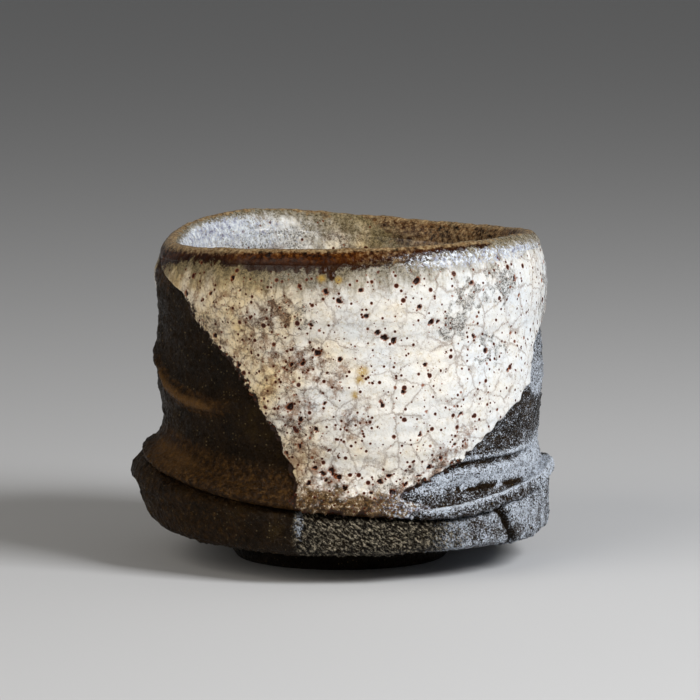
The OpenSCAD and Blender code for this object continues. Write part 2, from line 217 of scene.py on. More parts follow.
def outline(rows, t):
    """The (distance, height) pairs of an outline's rows, one to each angle of t."""
    return np.stack([np.stack([x + 0 * t, z + 0 * t], -1) for x, z in rows])


def wall_points(t):
    """The wall's outline at each angle of t: from the groove up, over the lip, and down inside."""
    seam, top = seam_z(t), lip_z(t)
    skirt, waist, lip = skirt_radius(t), wall_radius(t) - WAIST_IN, wall_radius(t) - LIP_IN
    waist_z, band_z = seam + FLARE_H, top - RIM_DROP_OUT
    shoulder = LIP_T * LIP_SIDE
    low_r = waist - WAIST_T
    rows = [
        (skirt - GROOVE_DEPTH, seam + LAYER_GAP),
        (skirt - SKIRT_EDGE_T / 4, seam + GROOVE_OPEN),
        (skirt, seam + SKIRT_EDGE_T / 2),
        (skirt - SKIRT_EDGE_T / 3, seam + SKIRT_EDGE_T),
        (mix(waist, skirt, HEM_OUT), seam + HEM_H),
        (waist, waist_z),
    ]
    rows += [(waist + WAIST_IN * out, mix(waist_z, band_z, up)) for up, out in WALL_OUTLINE]
    rows += [
        (lip, band_z),
        (lip - shoulder, top - LIP_T * LIP_ROUND),
        (lip - LIP_T / 2, top),
        (lip - LIP_T + shoulder, top - LIP_T * LIP_ROUND),
        (lip - LIP_T, top - RIM_DROP_IN),
    ]
    rows += [(wall_radius(t) - mix(LIP_T, WALL_T, f) - LIP_IN * (1 - f), mix(waist_z, top, up))
             for up, f in INSIDE]
    rows += [
        (low_r, mix(SEAM_MID_Z, top, 0.2)),
        (mix(CORNER_R, low_r, 0.7), mix(CORNER_Z, SEAM_MID_Z + FLARE_H, 0.4)),
        (CORNER_R, CORNER_Z + LAYER_GAP),
    ]
    return outline(rows, t)


def floor_points(t):
    """The cup's floor, from its middle out to the corner."""
    rows = [(CORNER_R * out, mix(FLOOR_Z, CORNER_Z, up)) for out, up in FLOOR] + [(CORNER_R, CORNER_Z)]
    return outline(rows, t)


def side_points(t):
    """The side of the base, from the groove's root down and in to the flat underside."""
    seam, edge = seam_z(t), base_radius(t)
    roll = ROLL_OUT * around(ROLL_SHARES, t)
    turn = mix(BASE_TURN, BOWL_TURN, around(TURN_SHARES, t))
    side_h = seam - EDGE_Z
    rows = [
        (skirt_radius(t) - GROOVE_DEPTH, seam),
        (edge - GROOVE_OPEN, seam - GROOVE_OPEN / 2),
        (edge + roll * 0.7, seam - side_h * 0.1),
        (edge + roll, seam - side_h * 0.24),
        (edge + roll / 4, mix(EDGE_Z + turn, seam, 0.28)),
        (edge, EDGE_Z + turn),
        (edge - turn * 0.3, EDGE_Z + turn * 0.3),
        (edge - turn, EDGE_Z),
        (FOOT_R + FOOT_SPREAD + FOOT_BEVEL, BASE_Z),
    ]
    return outline(rows, t)


def with_normals(points, row, t):
    """Places and outward directions in space of an outline's rows at angles t."""
    here = smooth_at(points, row)
    step = 0.02
    last = len(points) - 1
    way = smooth_at(points, np.minimum(row + step, last)) - smooth_at(points, np.maximum(row - step, 0))
    way /= np.maximum(np.linalg.norm(way, axis=1, keepdims=True), 1e-9)
    c, s = np.cos(np.radians(t)), np.sin(np.radians(t))
    place = np.stack([here[:, 0] * c, here[:, 0] * s, here[:, 1]], 1)
    normal = np.stack([way[:, 1] * c, way[:, 1] * s, -way[:, 0]], 1)
    return place, normal


def even_rows(points, first, last, spacing):
    """Rows from first to last that lie evenly, spacing apart, along an outline taken at the front."""
    fine = np.linspace(first, last, 400)
    at = points(np.full(400, 270.0))
    p = smooth_at(at, fine)
    length = np.concatenate([[0], np.cumsum(np.linalg.norm(np.diff(p, axis=0), axis=1))])
    count = max(2, int(round(length[-1] / spacing)) + 1)
    return np.interp(np.linspace(0, length[-1], count), length, fine)


# Patterns in the clay and glaze, in millimetres

SLOPES = np.array([(x, y, z) for x in (-1, 0, 1) for y in (-1, 0, 1) for z in (-1, 0, 1)
                   if abs(x) + abs(y) + abs(z) == 2], float)


def scramble(cell, salt):
    """A whole number below 2 ** 32 for each cell of a lattice, the same on every run."""
    n = cell[:, 0] * 73856093 ^ cell[:, 1] * 19349663 ^ cell[:, 2] * 83492791 ^ salt * 265443577
    n = (n ^ (n >> 15)) * 2246822519 & 0xFFFFFFFF
    n = (n ^ (n >> 13)) * 3266489917 & 0xFFFFFFFF
    return n ^ (n >> 16)


def lumps(p, seed):
    """Smooth noise from about -1 to 1, with one lump to the unit."""
    low = np.floor(p).astype(np.int64)
    f = p - low
    ease = f * f * f * (f * (f * 6 - 15) + 10)
    total = np.zeros(len(p))
    for corner in np.ndindex(2, 2, 2):
        slope = SLOPES[scramble(low + corner, seed) % len(SLOPES)]
        share = np.prod(np.where(corner, ease, 1 - ease), axis=1)
        total += share * np.sum(slope * (f - corner), axis=1)
    return total * 1.4


def cloud(p, size, seed=0, octaves=3):
    """Noise with lumps of the given size, and ever smaller ones on them."""
    return sum(lumps(p / size * 2 ** k + 7.3 * k, seed * 8 + k) / 2 ** k for k in range(octaves))


def nearest(p, size, seed=0):
    """Distance to the nearest of randomly strewn points, one to each cube of the given size, and two
    random values from 0 to 1 that belong to that point."""
    q = p / size
    low = np.floor(q).astype(np.int64)
    best = np.full(len(p), 9.0)
    winner = np.zeros((len(p), 3), np.int64)
    for shift in np.ndindex(3, 3, 3):
        cell = low + np.array(shift) - 1
        dice = scramble(cell, seed)
        spot = np.stack([dice & 1023, (dice >> 10) & 1023, (dice >> 20) & 1023], 1) / 1023
        gap = np.linalg.norm(q - cell - spot, axis=1)
        closer = gap < best
        best[closer] = gap[closer]
        winner[closer] = cell[closer]
    dice = scramble(winner, seed + 1)
    return best * size, (dice & 0xFFFF) / 0xFFFF, (dice >> 16) / 0xFFFF


# Meshes

def finish_mesh(bm, name, body, replaced, material):
    """Makes a bmesh an object on a body, which replaces a node of the CAD part."""
    mesh = bpy.data.meshes.new(name)
    bm.to_mesh(mesh)
    bm.free()
    obj = bpy.data.objects.new(name, mesh)
    bpy.context.scene.collection.objects.link(obj)
    mesh.materials.append(material)
    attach(obj, body)
    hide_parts(replaced)
    return obj


def write_shape(obj, place, **values):
    """Puts an object's vertices at the places given in millimetres and stores the named values on them. Each
    is one number for all of them or one to a vertex."""
    mesh = obj.data
    mesh.vertices.foreach_set("co", (place * MM).astype(np.float32).ravel())
    bm = bmesh.new()
    bm.from_mesh(mesh)
    bmesh.ops.recalc_face_normals(bm, faces=bm.faces)
    bm.to_mesh(mesh)
    bm.free()
    mesh.polygons.foreach_set("use_smooth", np.ones(len(mesh.polygons), bool))
    for name, value in values.items():
        layer = mesh.attributes.new(name, "FLOAT", "POINT")
        layer.data.foreach_set("value", np.full(len(place), value, np.float32))
    mesh.update()


def read_places(obj):
    flat = np.empty(len(obj.data.vertices) * 3, np.float32)
    obj.data.vertices.foreach_get("co", flat)
    return flat.reshape(-1, 3).astype(float)


def wrapped(name, rows, columns, closed, material):
    """A closed skin round the cup: a grid whose ends are sewn together, with a column to each angle. Its
    outline is a loop, or else runs from axis to axis. Gives each vertex's row, its index and its angle."""
    bm = bmesh.new()
    n = len(rows)
    turns = n if closed else 2 * (n - 1)
    bmesh.ops.create_grid(bm, x_segments=columns, y_segments=n if closed else n - 1, size=1.0)
    for v in bm.verts:
        side = (v.co.x + 1) * math.pi
        up = (v.co.y + 1) * math.pi * (1 if closed else 0.5)
        reach = 3 + math.cos(up) if closed else math.sin(up)
        rise = math.sin(up) if closed else math.cos(up)
        v.co = (reach * math.cos(side), reach * math.sin(side), rise)
    bmesh.ops.remove_doubles(bm, verts=bm.verts[:], dist=1e-5)
    obj = finish_mesh(bm, name, "root", name, material)
    p = read_places(obj)
    out = np.hypot(p[:, 0], p[:, 1])
    up = np.arctan2(p[:, 2], out - 3) if closed else np.arctan2(out, p[:, 2])
    index = np.round(up * turns / (2 * math.pi)).astype(int) % turns
    return obj, np.asarray(rows, float)[index], index, np.degrees(np.arctan2(p[:, 1], p[:, 0])) % 360


def sheet(name, columns, rows, material, keep=None):
    """A closed double sheet: a grid of columns by rows, trimmed to the faces that keep says, and given a
    back. Gives each vertex's shares of the way along and up, and whether it is in front."""
    bm = bmesh.new()
    bmesh.ops.create_grid(bm, x_segments=columns - 1, y_segments=rows - 1, size=1.0)
    if keep:
        middles = np.array([f.calc_center_median()[:2] for f in bm.faces])
        kept = keep((middles[:, 0] + 1) / 2, (middles[:, 1] + 1) / 2)
        gone = [f for f, good in zip(bm.faces, kept) if not good]
        bmesh.ops.delete(bm, geom=gone, context="FACES")
    bmesh.ops.solidify(bm, geom=bm.faces[:], thickness=1.0)
    obj = finish_mesh(bm, name, "root", name, material)
    p = read_places(obj)
    return obj, (p[:, 0] + 1) / 2, (p[:, 1] + 1) / 2, p[:, 2] > p[:, 2].max() - 0.5


# Materials. Places are in millimetres, so the scale of a pattern is 1 / the millimetres of its lumps or
# cells. The render has six pixels to the millimetre. Sand, soot, ash and crystals are finer than that on
# the real cup, so they are drawn as coarse as 0.3 to 0.5 mm to show. After its place and scale a noise
# takes its detail and roughness, and a range takes a value, the ends of its span and what these give.

# Settings that many nodes share
SOFT = {"interpolation_type": "SMOOTHSTEP"}
COLOURS = {"data_type": "RGBA"}
PLUS = {"operation": "ADD"}
MINUS = {"operation": "SUBTRACT"}
TIMES = {"operation": "MULTIPLY"}
TIMES_PLUS = {"operation": "MULTIPLY_ADD"}
TIMES_PLUS_CLAMPED = {"operation": "MULTIPLY_ADD", "use_clamp": True}
MOST = {"operation": "MAXIMUM"}


def rgb(code):
    """A linear colour from an sRGB hex value."""
    parts = [int(code[i:i + 2], 16) / 255 for i in (0, 2, 4)]
    return [p / 12.92 if p <= 0.04045 else ((p + 0.055) / 1.055) ** 2.4 for p in parts] + [1.0]


def grey(value):
    return (value, value, value, 1.0)


def add(tree, kind, settings, *inputs, **named):
    """Adds a node. Its settings are properties of its own, or the stops of its colour ramp. Its inputs fill
    the sockets in use in their order, or by name, with a value, an output, or another node's first output."""
    node = tree.nodes.new("ShaderNode" + kind)
    for key, value in settings.items():
        if key == "stops":
            band = node.color_ramp.elements
            while len(band) < len(value):
                band.new(0.5)
            for element, (position, colour) in zip(band, value):
                element.position = position
                element.color = colour
        else:
            setattr(node, key, value)
    fill = list(zip([socket for socket in node.inputs if socket.enabled], inputs))
    fill += [(node.inputs[name.replace("_", " ")], value) for name, value in named.items()]
    for socket, value in fill:
        if isinstance(value, bpy.types.Node):
            value = next(output for output in value.outputs if output.enabled)
        if isinstance(value, bpy.types.NodeSocket):
            tree.links.new(value, socket)
        else:
            socket.default_value = value
    return node


def new_material(name):
    material = bpy.data.materials.new(name)
    material.use_nodes = True
    material.node_tree.nodes.clear()
    return material, material.node_tree


def in_millimetres(tree):
    """The place on the object in millimetres."""
    coordinates = add(tree, "TexCoord", {}).outputs["Object"]
    return add(tree, "Mapping", {}, coordinates, Scale=(1 / MM, 1 / MM, 1 / MM))


def stained(tree, body, colour, value, low, high, share=1.0):
    """The body's colour with another one laid over it, none where the value is below low, and softly up to
    the share where it is above high."""
    cover = add(tree, "MapRange", SOFT, value, low, high, 0.0, share)
    return add(tree, "Mix", COLOURS, cover, body, colour)


def speckle(tree, place, size, radius, share, seed):
    """Round spots strewn at one to each cube of the size, on a share of the cubes. Gives how far inside a
    spot each place is, from 0 at its rim up."""
    moved = add(tree, "VectorMath", PLUS, place, (seed, seed * 2, seed * 3))
    spots = add(tree, "TexVoronoi", {}, moved, 1 / size)
    dice = add(tree, "SeparateColor", {}, spots.outputs["Color"])
    picked = add(tree, "Math", {"operation": "LESS_THAN"}, dice, share)
    reach = add(tree, "Math", TIMES_PLUS, dice.outputs["Green"], radius / size * 0.7, radius / size * 0.5)
    inside = add(tree, "Math", MINUS, 1.0, add(tree, "Math", {"operation": "DIVIDE"}, spots, reach))
    return add(tree, "Math", TIMES, inside, picked)


def facets(tree, place, size):
    """Height in millimetres of a skin of flat crystal faces, one to a cell and each tilted its own way."""
    cells = add(tree, "TexVoronoi", {}, place, 1 / size)
    tilt = add(tree, "VectorMath", MINUS, cells.outputs["Color"], (0.5, 0.5, 0.5))
    away = add(tree, "VectorMath", MINUS, place, cells.outputs["Position"])
    return add(tree, "VectorMath", {"operation": "DOT_PRODUCT"}, tilt, away)


def bare_stoneware(name, dark, brown, pale):
    """Coarse iron-bearing stoneware, fired bare in reduction: near black, with a rough skin of sand whose
    crystal faces glint and whose pale specks are partly painted glints, golden brown partly from the flame
    and partly as painted light and highlights on the lit flare and ridge, with painted shade and highlights
    on the knife-cut facet's strokes,
    and pale and bluish on one side, partly ash and partly painted light. Three values stored on the mesh say
    where:
    one for the brown and its highlights, one for the knife-cut facet, and one for the pale side."""
    material, tree = new_material(name)
    place = in_millimetres(tree)
    toasted, scraped, frost = [add(tree, "Attribute", {"attribute_name": value}).outputs["Fac"]
                               for value in ("toasted", "scraped", "frost")]
    tone = add(tree, "TexNoise", {}, place, 1 / 5.0, 6.0, 0.7)
    broken = add(tree, "TexNoise", {}, place, 1 / 0.9, 5.0, 0.75)
    sand = add(tree, "TexNoise", {}, place, 1 / 0.42, 3.0, 0.85)
    clays = [(0.34, rgb(dark)), (0.55, rgb(brown)), (0.74, rgb(pale))]
    body = add(tree, "ValToRGB", {"stops": clays}, tone)
    body = stained(tree, body, rgb("4d3d26"), sand, 0.56, 0.74, 0.5)
    # Pale specks: partly pale sand grains, partly painted glints
    body = stained(tree, body, rgb("8d7b5a"), speckle(tree, place, 0.5, 0.13, 0.34, 3.0), 0.0, 0.5, 0.8)
    # Golden brown in patches, partly browning by the flame and partly painted light on the lit flare, and
    # palest where the value is above 1, on the finger ridge and the flare's left edge: painted highlights
    patches = add(tree, "Math", TIMES, toasted, add(tree, "Math", PLUS, broken, 0.6))
    toast_and_light_tones = [(0.35, rgb("170d02")), (0.52, rgb("36220b")), (0.72, rgb("6c4d25"))]
    body = stained(tree, body, add(tree, "ValToRGB", {"stops": toast_and_light_tones}, broken), patches, 0.25, 0.8, 0.9)
    body = stained(tree, body, rgb("7d5a30"), toasted, 1.0, 1.8, 0.6)
    # Slanting strokes that the trimming knife dragged down to the right. On the knife-cut facet the colour
    # between the strokes is pulled towards black as painted shade, and the strokes' tops are made pale as
    # painted highlights
    lengthwise = add(tree, "VectorMath", {"operation": "DOT_PRODUCT"}, place, (0.4, 0.0, -0.3))
    across = add(tree, "VectorMath", {"operation": "DOT_PRODUCT"}, place, (0.6, 0.0, 0.8))
    dragged = add(tree, "CombineXYZ", {}, lengthwise, across)
    strokes = add(tree, "TexNoise", {}, dragged, 1 / 0.42, 5.0, 0.9)
    body = add(tree, "Mix", COLOURS, add(tree, "Math", TIMES, scraped, 0.6), body, rgb("0b0805"))
    body = stained(tree, body, rgb("dccfb4"), strokes, 0.52, 0.59, add(tree, "Math", TIMES, scraped, 0.9))
    # Pale bluish flecks on the right, partly ash that the kiln's draught laid on it and partly painted light
    # and glints where the right side is lit
    fleck = add(tree, "TexNoise", {}, place, 1 / 0.29, 2.0, 0.95)
    drift = add(tree, "TexNoise", {}, place, 1 / 1.4, 3.0, 0.55)
    fleck = add(tree, "Math", TIMES_PLUS, drift, 0.3, fleck)
    caught = add(tree, "Math", TIMES_PLUS, frost, 0.28, fleck)
    frost_and_light_level = add(tree, "MapRange", SOFT, frost, 0.03, 0.25)
    dust = add(tree, "MapRange", SOFT, caught, 0.78, 0.88, 0.0, frost_and_light_level)
    body = add(tree, "Mix", COLOURS, add(tree, "Math", TIMES, dust, 0.95), body, rgb("dde7f5"))
    # The skin's height in millimetres: fine sand, ash, the knife's strokes and crystal faces
    fine = add(tree, "TexNoise", {}, place, 1 / 0.3, 4.0, 0.7)
    height = add(tree, "Math", TIMES_PLUS, dust, 0.06, add(tree, "Math", TIMES, fine, 0.4))
    height = add(tree, "Math", TIMES_PLUS, add(tree, "Math", TIMES, strokes, scraped), 0.9, height)
    height = add(tree, "Math", TIMES_PLUS, facets(tree, place, 0.42), 1.3, height)
    glint = add(tree, "TexNoise", {}, place, 1 / 0.4, 3.0, 0.7)
    roughness = add(tree, "ValToRGB", {"stops": [(0.4, grey(0.22)), (0.6, grey(0.55))]}, glint)
    bump = add(tree, "Bump", {}, Strength=1.0, Distance=MM, Height=height)
    surface = add(tree, "BsdfPrincipled", {}, Base_Color=body, Roughness=roughness, IOR=1.5,
                  Specular_IOR_Level=0.12, Normal=bump)
    add(tree, "OutputMaterial", {}, surface)
    return material


def iron_colour(tree, place, below, worn):
    """Iron-brown glaze: near black where it pooled above its lower edge, then red brown, and golden as the
    given
    share says: where it breaks thin on the lip, and along the lip's crest partly as a painted highlight."""
    tone = add(tree, "TexNoise", {}, place, 1 / 0.8, 5.0, 0.75)
    slow = add(tree, "TexNoise", {}, place, 1 / 6.0, 2.0, 0.55)
    mixed = add(tree, "Math", TIMES_PLUS, slow, 0.2, add(tree, "Math", TIMES, tone, 0.8))
    browns = [(0.4, rgb("0b0501")), (0.47, rgb("2b1304")), (0.56, rgb("582f0a")), (0.66, rgb("8a6433"))]
    body = add(tree, "ValToRGB", {"stops": browns}, mixed)
    pooled = add(tree, "Math", TIMES_PLUS, tone, 1.2, below)
    body = stained(tree, body, rgb("351603"), pooled, -1.5, 0.0, 0.6)
    body = stained(tree, body, rgb("1a0a02"), pooled, -0.4, 0.9, 0.72)
    golden = add(tree, "TexNoise", {}, place, 1 / 0.5, 3.0, 0.7)
    golden = add(tree, "ValToRGB", {"stops": [(0.35, rgb("67492a")), (0.65, rgb("b59f78"))]}, golden)
    breaking_and_highlight = add(tree, "Math", PLUS, worn, add(tree, "TexNoise", {}, place, 1 / 0.8, 4.0, 0.75))
    return stained(tree, body, golden, breaking_and_highlight, 0.85, 1.2, 0.85)


def milk_and_reflection_over(tree, place, body, pearl):
    """Milky blue and violet over a glaze, as much as the given share says: partly milky crystals, partly
    painted reflection of the light.
    """
    crystal = add(tree, "TexNoise", {}, place, 1 / 0.5, 4.0, 0.8)
    crystal = add(tree, "Math", TIMES_PLUS, pearl, 0.2, crystal)
    shown = add(tree, "MapRange", SOFT, crystal, 0.58, 0.7)
    milky = [(0.36, rgb("6d6b80")), (0.46, rgb("a9b0c0")), (0.62, rgb("e6edf1"))]
    hue = add(tree, "ValToRGB", {"stops": milky}, add(tree, "TexNoise", {}, place, 1 / 0.9, 4.0, 0.75))
    return stained(tree, body, hue, pearl, 0.0, 0.25, shown)


def fired_glaze(name, gloss, pitted, shine):
    """Thick white feldspar glaze with a satin skin, netted with brown and grey crackle and peppered with
    rusty pinholes that boiled through it. The values stored on the mesh steer it: one takes it from cool
    white (below 0) to a stained, creamy white (1), partly a real stain and partly painted light, warm on the
    shaded side and cool on the lit one; rust, soot and gold stain it, fringe and thin break it up at its
    edges, pit is the depth in a burst bubble, and above the place where below is 0 it is covered by the
    iron-brown glaze that ran off the lip.
    Gloss is its roughness, pitted the share of the pinholes that it has, and shine the strength of its
    reflection."""
    material, tree = new_material(name)
    place = in_millimetres(tree)
    cream, rust, soot, gold, fringe, thin, pit, below, worn, pearl = [
        add(tree, "Attribute", {"attribute_name": value}).outputs["Fac"]
        for value in ("cream", "rust", "soot", "gold", "fringe", "thin", "pit", "below", "worn", "pearl")]
    # Creamy to cool white: partly a real stain, partly painted warm light on the shaded side and cool on the
    # lit one
    slow = add(tree, "TexNoise", {}, place, 1 / 8.0, 5.0, 0.6)
    tone = add(tree, "Math", TIMES_PLUS, cream, -0.4, slow)
    whites = [(0.06, rgb("efd7a4")), (0.26, rgb("eee2ca")), (0.42, rgb("e8e5dd")), (0.85, rgb("dde4ea"))]
    body = add(tree, "ValToRGB", {"stops": whites}, tone)
    mottle = add(tree, "TexNoise", {}, place, 1 / 0.6, 4.0, 0.75)
    dulled = add(tree, "Mix", {"data_type": "RGBA", "blend_type": "MULTIPLY"}, 1.0, body, rgb("d8cbb4"))
    body = stained(tree, body, dulled, mottle, 0.5, 0.75)
    blotches = add(tree, "TexNoise", {}, place, 1 / 1.5, 6.0, 0.8)
    stain = add(tree, "Math", MOST, rust, add(tree, "Math", TIMES, cream, 0.5))
    stain = add(tree, "Math", TIMES_PLUS, stain, 0.2, blotches)
    body = stained(tree, body, rgb("835a38"), stain, 0.58, 0.76, 0.75)
    grains = add(tree, "TexNoise", {}, place, 1 / 0.5, 4.0, 0.9)
    grainy = add(tree, "Math", TIMES, add(tree, "Math", PLUS, cream, rust), 0.55)
    body = stained(tree, body, rgb("5f3a20"), grains, 0.57, 0.65, grainy)
    # Crackle: borders between cells, wandering with a noise, in a main net and a fainter fine one
    wander = add(tree, "TexNoise", {}, place, 1 / 2.0, 6.0, 0.7)
    shift = add(tree, "VectorMath", {"operation": "SCALE"}, wander.outputs["Color"], 2.6)
    moved = add(tree, "VectorMath", PLUS, place, shift)
    net = add(tree, "TexVoronoi", {"feature": "DISTANCE_TO_EDGE"}, moved, 1 / 4.6)
    net_tones = [(0.0, grey(1)), (0.014, grey(0.8)), (0.03, grey(0.28)), (0.07, grey(0))]
    net = add(tree, "ValToRGB", {"stops": net_tones}, net)
    fine_net = add(tree, "TexVoronoi", {"feature": "DISTANCE_TO_EDGE"}, moved, 1 / 1.9)
    fine_tones = [(0.0, grey(0.75)), (0.05, grey(0.2)), (0.12, grey(0))]
    fine_net = add(tree, "ValToRGB", {"stops": fine_tones}, fine_net)
    strong = add(tree, "TexNoise", {}, place, 1 / 5.0, 3.0, 0.55)
    strong = add(tree, "MapRange", SOFT, strong, 0.34, 0.6)
    warmth = add(tree, "Math", TIMES_PLUS_CLAMPED, cream, 0.6, rust)
    net_share = add(tree, "Math", TIMES_PLUS, strong, 0.6, 0.05)
    fine_share = add(tree, "Math", TIMES_PLUS, strong, -0.36, 0.48)
    fine_share = add(tree, "Math", TIMES_PLUS, warmth, 0.7, fine_share)
    lines = add(tree, "Math", TIMES, net, net_share)
    lines = add(tree, "Math", TIMES_PLUS_CLAMPED, fine_net, fine_share, lines)
    line_tone = add(tree, "Mix", COLOURS, warmth, rgb("7d6555"), rgb("482a18"))
    body = add(tree, "Mix", COLOURS, lines, body, line_tone)
    # Trapped soot: a grey cloud of fine speckle
    cloudy = add(tree, "Math", TIMES_PLUS, soot, 0.46, add(tree, "TexNoise", {}, place, 1 / 3.0, 5.0, 0.7))
    specks = add(tree, "TexNoise", {}, place, 1 / 0.45, 4.0, 0.95)
    specks = add(tree, "MapRange", SOFT, specks, 0.47, 0.56)
    haze = add(tree, "Mix", COLOURS, warmth, rgb("8b877e"), rgb("8c7358"))
    body = stained(tree, body, haze, cloudy, 0.64, 0.82, 0.25)
    dark = add(tree, "Mix", COLOURS, warmth, rgb("37312b"), rgb("3a2215"))
    body = stained(tree, body, dark, cloudy, 0.64, 0.82, add(tree, "Math", TIMES, specks, 0.9))
    # Stain that the iron rim bled down into the white, in streaks
    streaked = add(tree, "VectorMath", TIMES, place, (1.0, 1.0, 0.22))
    streaks = add(tree, "TexNoise", {}, streaked, 1 / 1.7, 4.0, 0.7)
    bleed = add(tree, "Math", MINUS, add(tree, "Math", TIMES, streaks, 9.0), below)
    body = stained(tree, body, rgb("6a5d3b"), bleed, -1.2, 3.6, 0.8)
    body = stained(tree, body, rgb("2f2718"), bleed, 0.6, 3.6, add(tree, "Math", TIMES, specks, 0.8))
    iron_edge = add(tree, "TexNoise", {}, place, 1 / 1.6, 5.0, 0.7)
    iron_edge = add(tree, "Math", MINUS, add(tree, "Math", TIMES, iron_edge, 5.0), below)
    covered = add(tree, "MapRange", SOFT, iron_edge, 1.5, 2.2)
    # Fringe: thin rusty glaze, broken into beads, and golden stains
    broken = add(tree, "TexNoise", {}, place, 1 / 0.9, 5.0, 0.8)
    broken = add(tree, "Math", TIMES_PLUS, fringe, 0.62, broken)
    rusty = add(tree, "MapRange", SOFT, broken, 0.72, 0.98)
    rusts = [(0.39, rgb("140a05")), (0.48, rgb("3c2810")), (0.57, rgb("6d5431")), (0.66, rgb("ddd4c2"))]
    rust_tone = add(tree, "TexNoise", {}, place, 1 / 0.9, 5.0, 0.85)
    rust_tone = add(tree, "ValToRGB", {"stops": rusts}, rust_tone)
    body = add(tree, "Mix", COLOURS, rusty, body, rust_tone)
    wisps = add(tree, "TexNoise", {}, place, 1 / 0.5, 4.0, 0.85)
    body = stained(tree, body, rgb("ad8c3e"), wisps, 0.32, 0.52, add(tree, "Math", TIMES, gold, 0.9))
    # Darkest right at the edge: partly thin glaze over dark clay in brown wisps, partly painted shadow along
    # the edge
    body = stained(tree, body, rgb("2a180b"), add(tree, "Math", TIMES_PLUS, wisps, 1.5, thin), 1.22, 1.38)
    # Pinholes in three sizes, the larger two dark inside with a rusty ring, and the pits of burst bubbles
    more = add(tree, "Math", PLUS, 1.0, rust)
    dust = speckle(tree, place, 0.62, 0.14, add(tree, "Math", TIMES, more, 0.45 * pitted), 17.0)
    body = stained(tree, body, rgb("6f3616"), dust, 0.0, 0.5, 0.75)
    holed = add(tree, "Math", TIMES, more, 0.55 * pitted)
    small = speckle(tree, place, 0.9, 0.25, holed, 5.0)
    middling = speckle(tree, place, 1.9, 0.42, holed, 11.0)
    depth = add(tree, "Math", MOST, small, middling)
    inside = add(tree, "MapRange", SOFT, depth, 0.1, 0.4, 0.0, add(tree, "Math", MINUS, 1.0, covered))
    ring = add(tree, "Math", TIMES_PLUS, rusty, -0.7, 0.85)
    crater = add(tree, "MapRange", SOFT, pit, 0.25, 0.5)
    body = stained(tree, body, rgb("8c4719"), depth, 0.0, 0.16, ring)
    body = add(tree, "Mix", COLOURS, inside, body, rgb("3a1406"))
    body = stained(tree, body, rgb("8c4719"), pit, 0.02, 0.2, ring)
    body = add(tree, "Mix", COLOURS, crater, body, rgb("260d06"))
    body = add(tree, "Mix", COLOURS, covered, body, iron_colour(tree, place, below, worn))
    body = milk_and_reflection_over(tree, place, body, pearl)
    # Glassy in the holes and where the iron covers it, uneven, and cut by the holes and the crackle
    glassy = add(tree, "Math", MOST, covered, add(tree, "Math", MOST, inside, crater))
    roughness = add(tree, "ValToRGB", {"stops": [(0.0, grey(gloss)), (1.0, grey(gloss * 0.55))]}, glassy)
    height = add(tree, "TexNoise", {}, place, 1 / 1.1, 4.0, 0.6)
    for part, share in ((mottle, 0.25), (inside, -0.9), (lines, -0.25)):
        height = add(tree, "Math", TIMES_PLUS, part, share, height)
    bump = add(tree, "Bump", {}, Strength=0.5, Distance=0.3 * MM, Height=height)
    surface = add(tree, "BsdfPrincipled", {}, Base_Color=body, Roughness=roughness, IOR=1.5,
                  Specular_IOR_Level=shine, Subsurface_Weight=0.04,
                  Subsurface_Radius=(1.0 * MM, 0.8 * MM, 0.6 * MM), Subsurface_Scale=1.0, Normal=bump)
    add(tree, "OutputMaterial", {}, surface)
    return material


# Pieces

# Spacing of the rows up the clay and the glaze, and numbers of columns round the pieces
CLAY_STEP, GLAZE_STEP = 0.34, 0.25
COLUMNS, RIM_COLUMNS, LINING_COLUMNS, FOOT_COLUMNS = 620, 720, 430, 300

# Near-black sandy clay, golden brown at the left, partly from the flame and partly painted light, and pale
# and bluish at the right, partly ash and partly painted light
clay = bare_stoneware("bare_reduction_stoneware", "110a02", "221505", "38290c")
# The same clay on the turned foot, a little greyer
raw = bare_stoneware("turned_stoneware", "130e09", "211910", "33291b")
# Thick satin white of the dips, full of rusty pinholes
white = fired_glaze("crackled_white_glaze", 0.33, 1.0, 0.22)
# Thinner and glossier white inside, with few pinholes
lining_white = fired_glaze("crackled_white_lining", 0.26, 0.2, 0.45)
# Dark brown over the lip, glossy in its reflections and golden where it breaks
brown = fired_glaze("iron_brown_glaze", 0.27, 0.2, 0.13)


# The line of the ridge that a dragged finger left in the wall: angles, and heights
FINGER_AT = [188, 196, 202, 216, 230, 238]
FINGER_Z = [34.5, 32, 29.8, 28.2, 27.4, 28.5]
# Heights of the skirt's folds at the right, at even angles: a thin crease, the swell under it, and a slit
FOLDS_FROM, FOLDS_TO = 296, 356
CREASE_Z = [19.3, 19.6, 19.7, 20.1, 20.6]
FOLD_Z = [16.6, 17.1, 17.3, 17.7, 18.0]
SLIT_Z = [14.3, 14.4, 14.4, 14.3, 14.5]
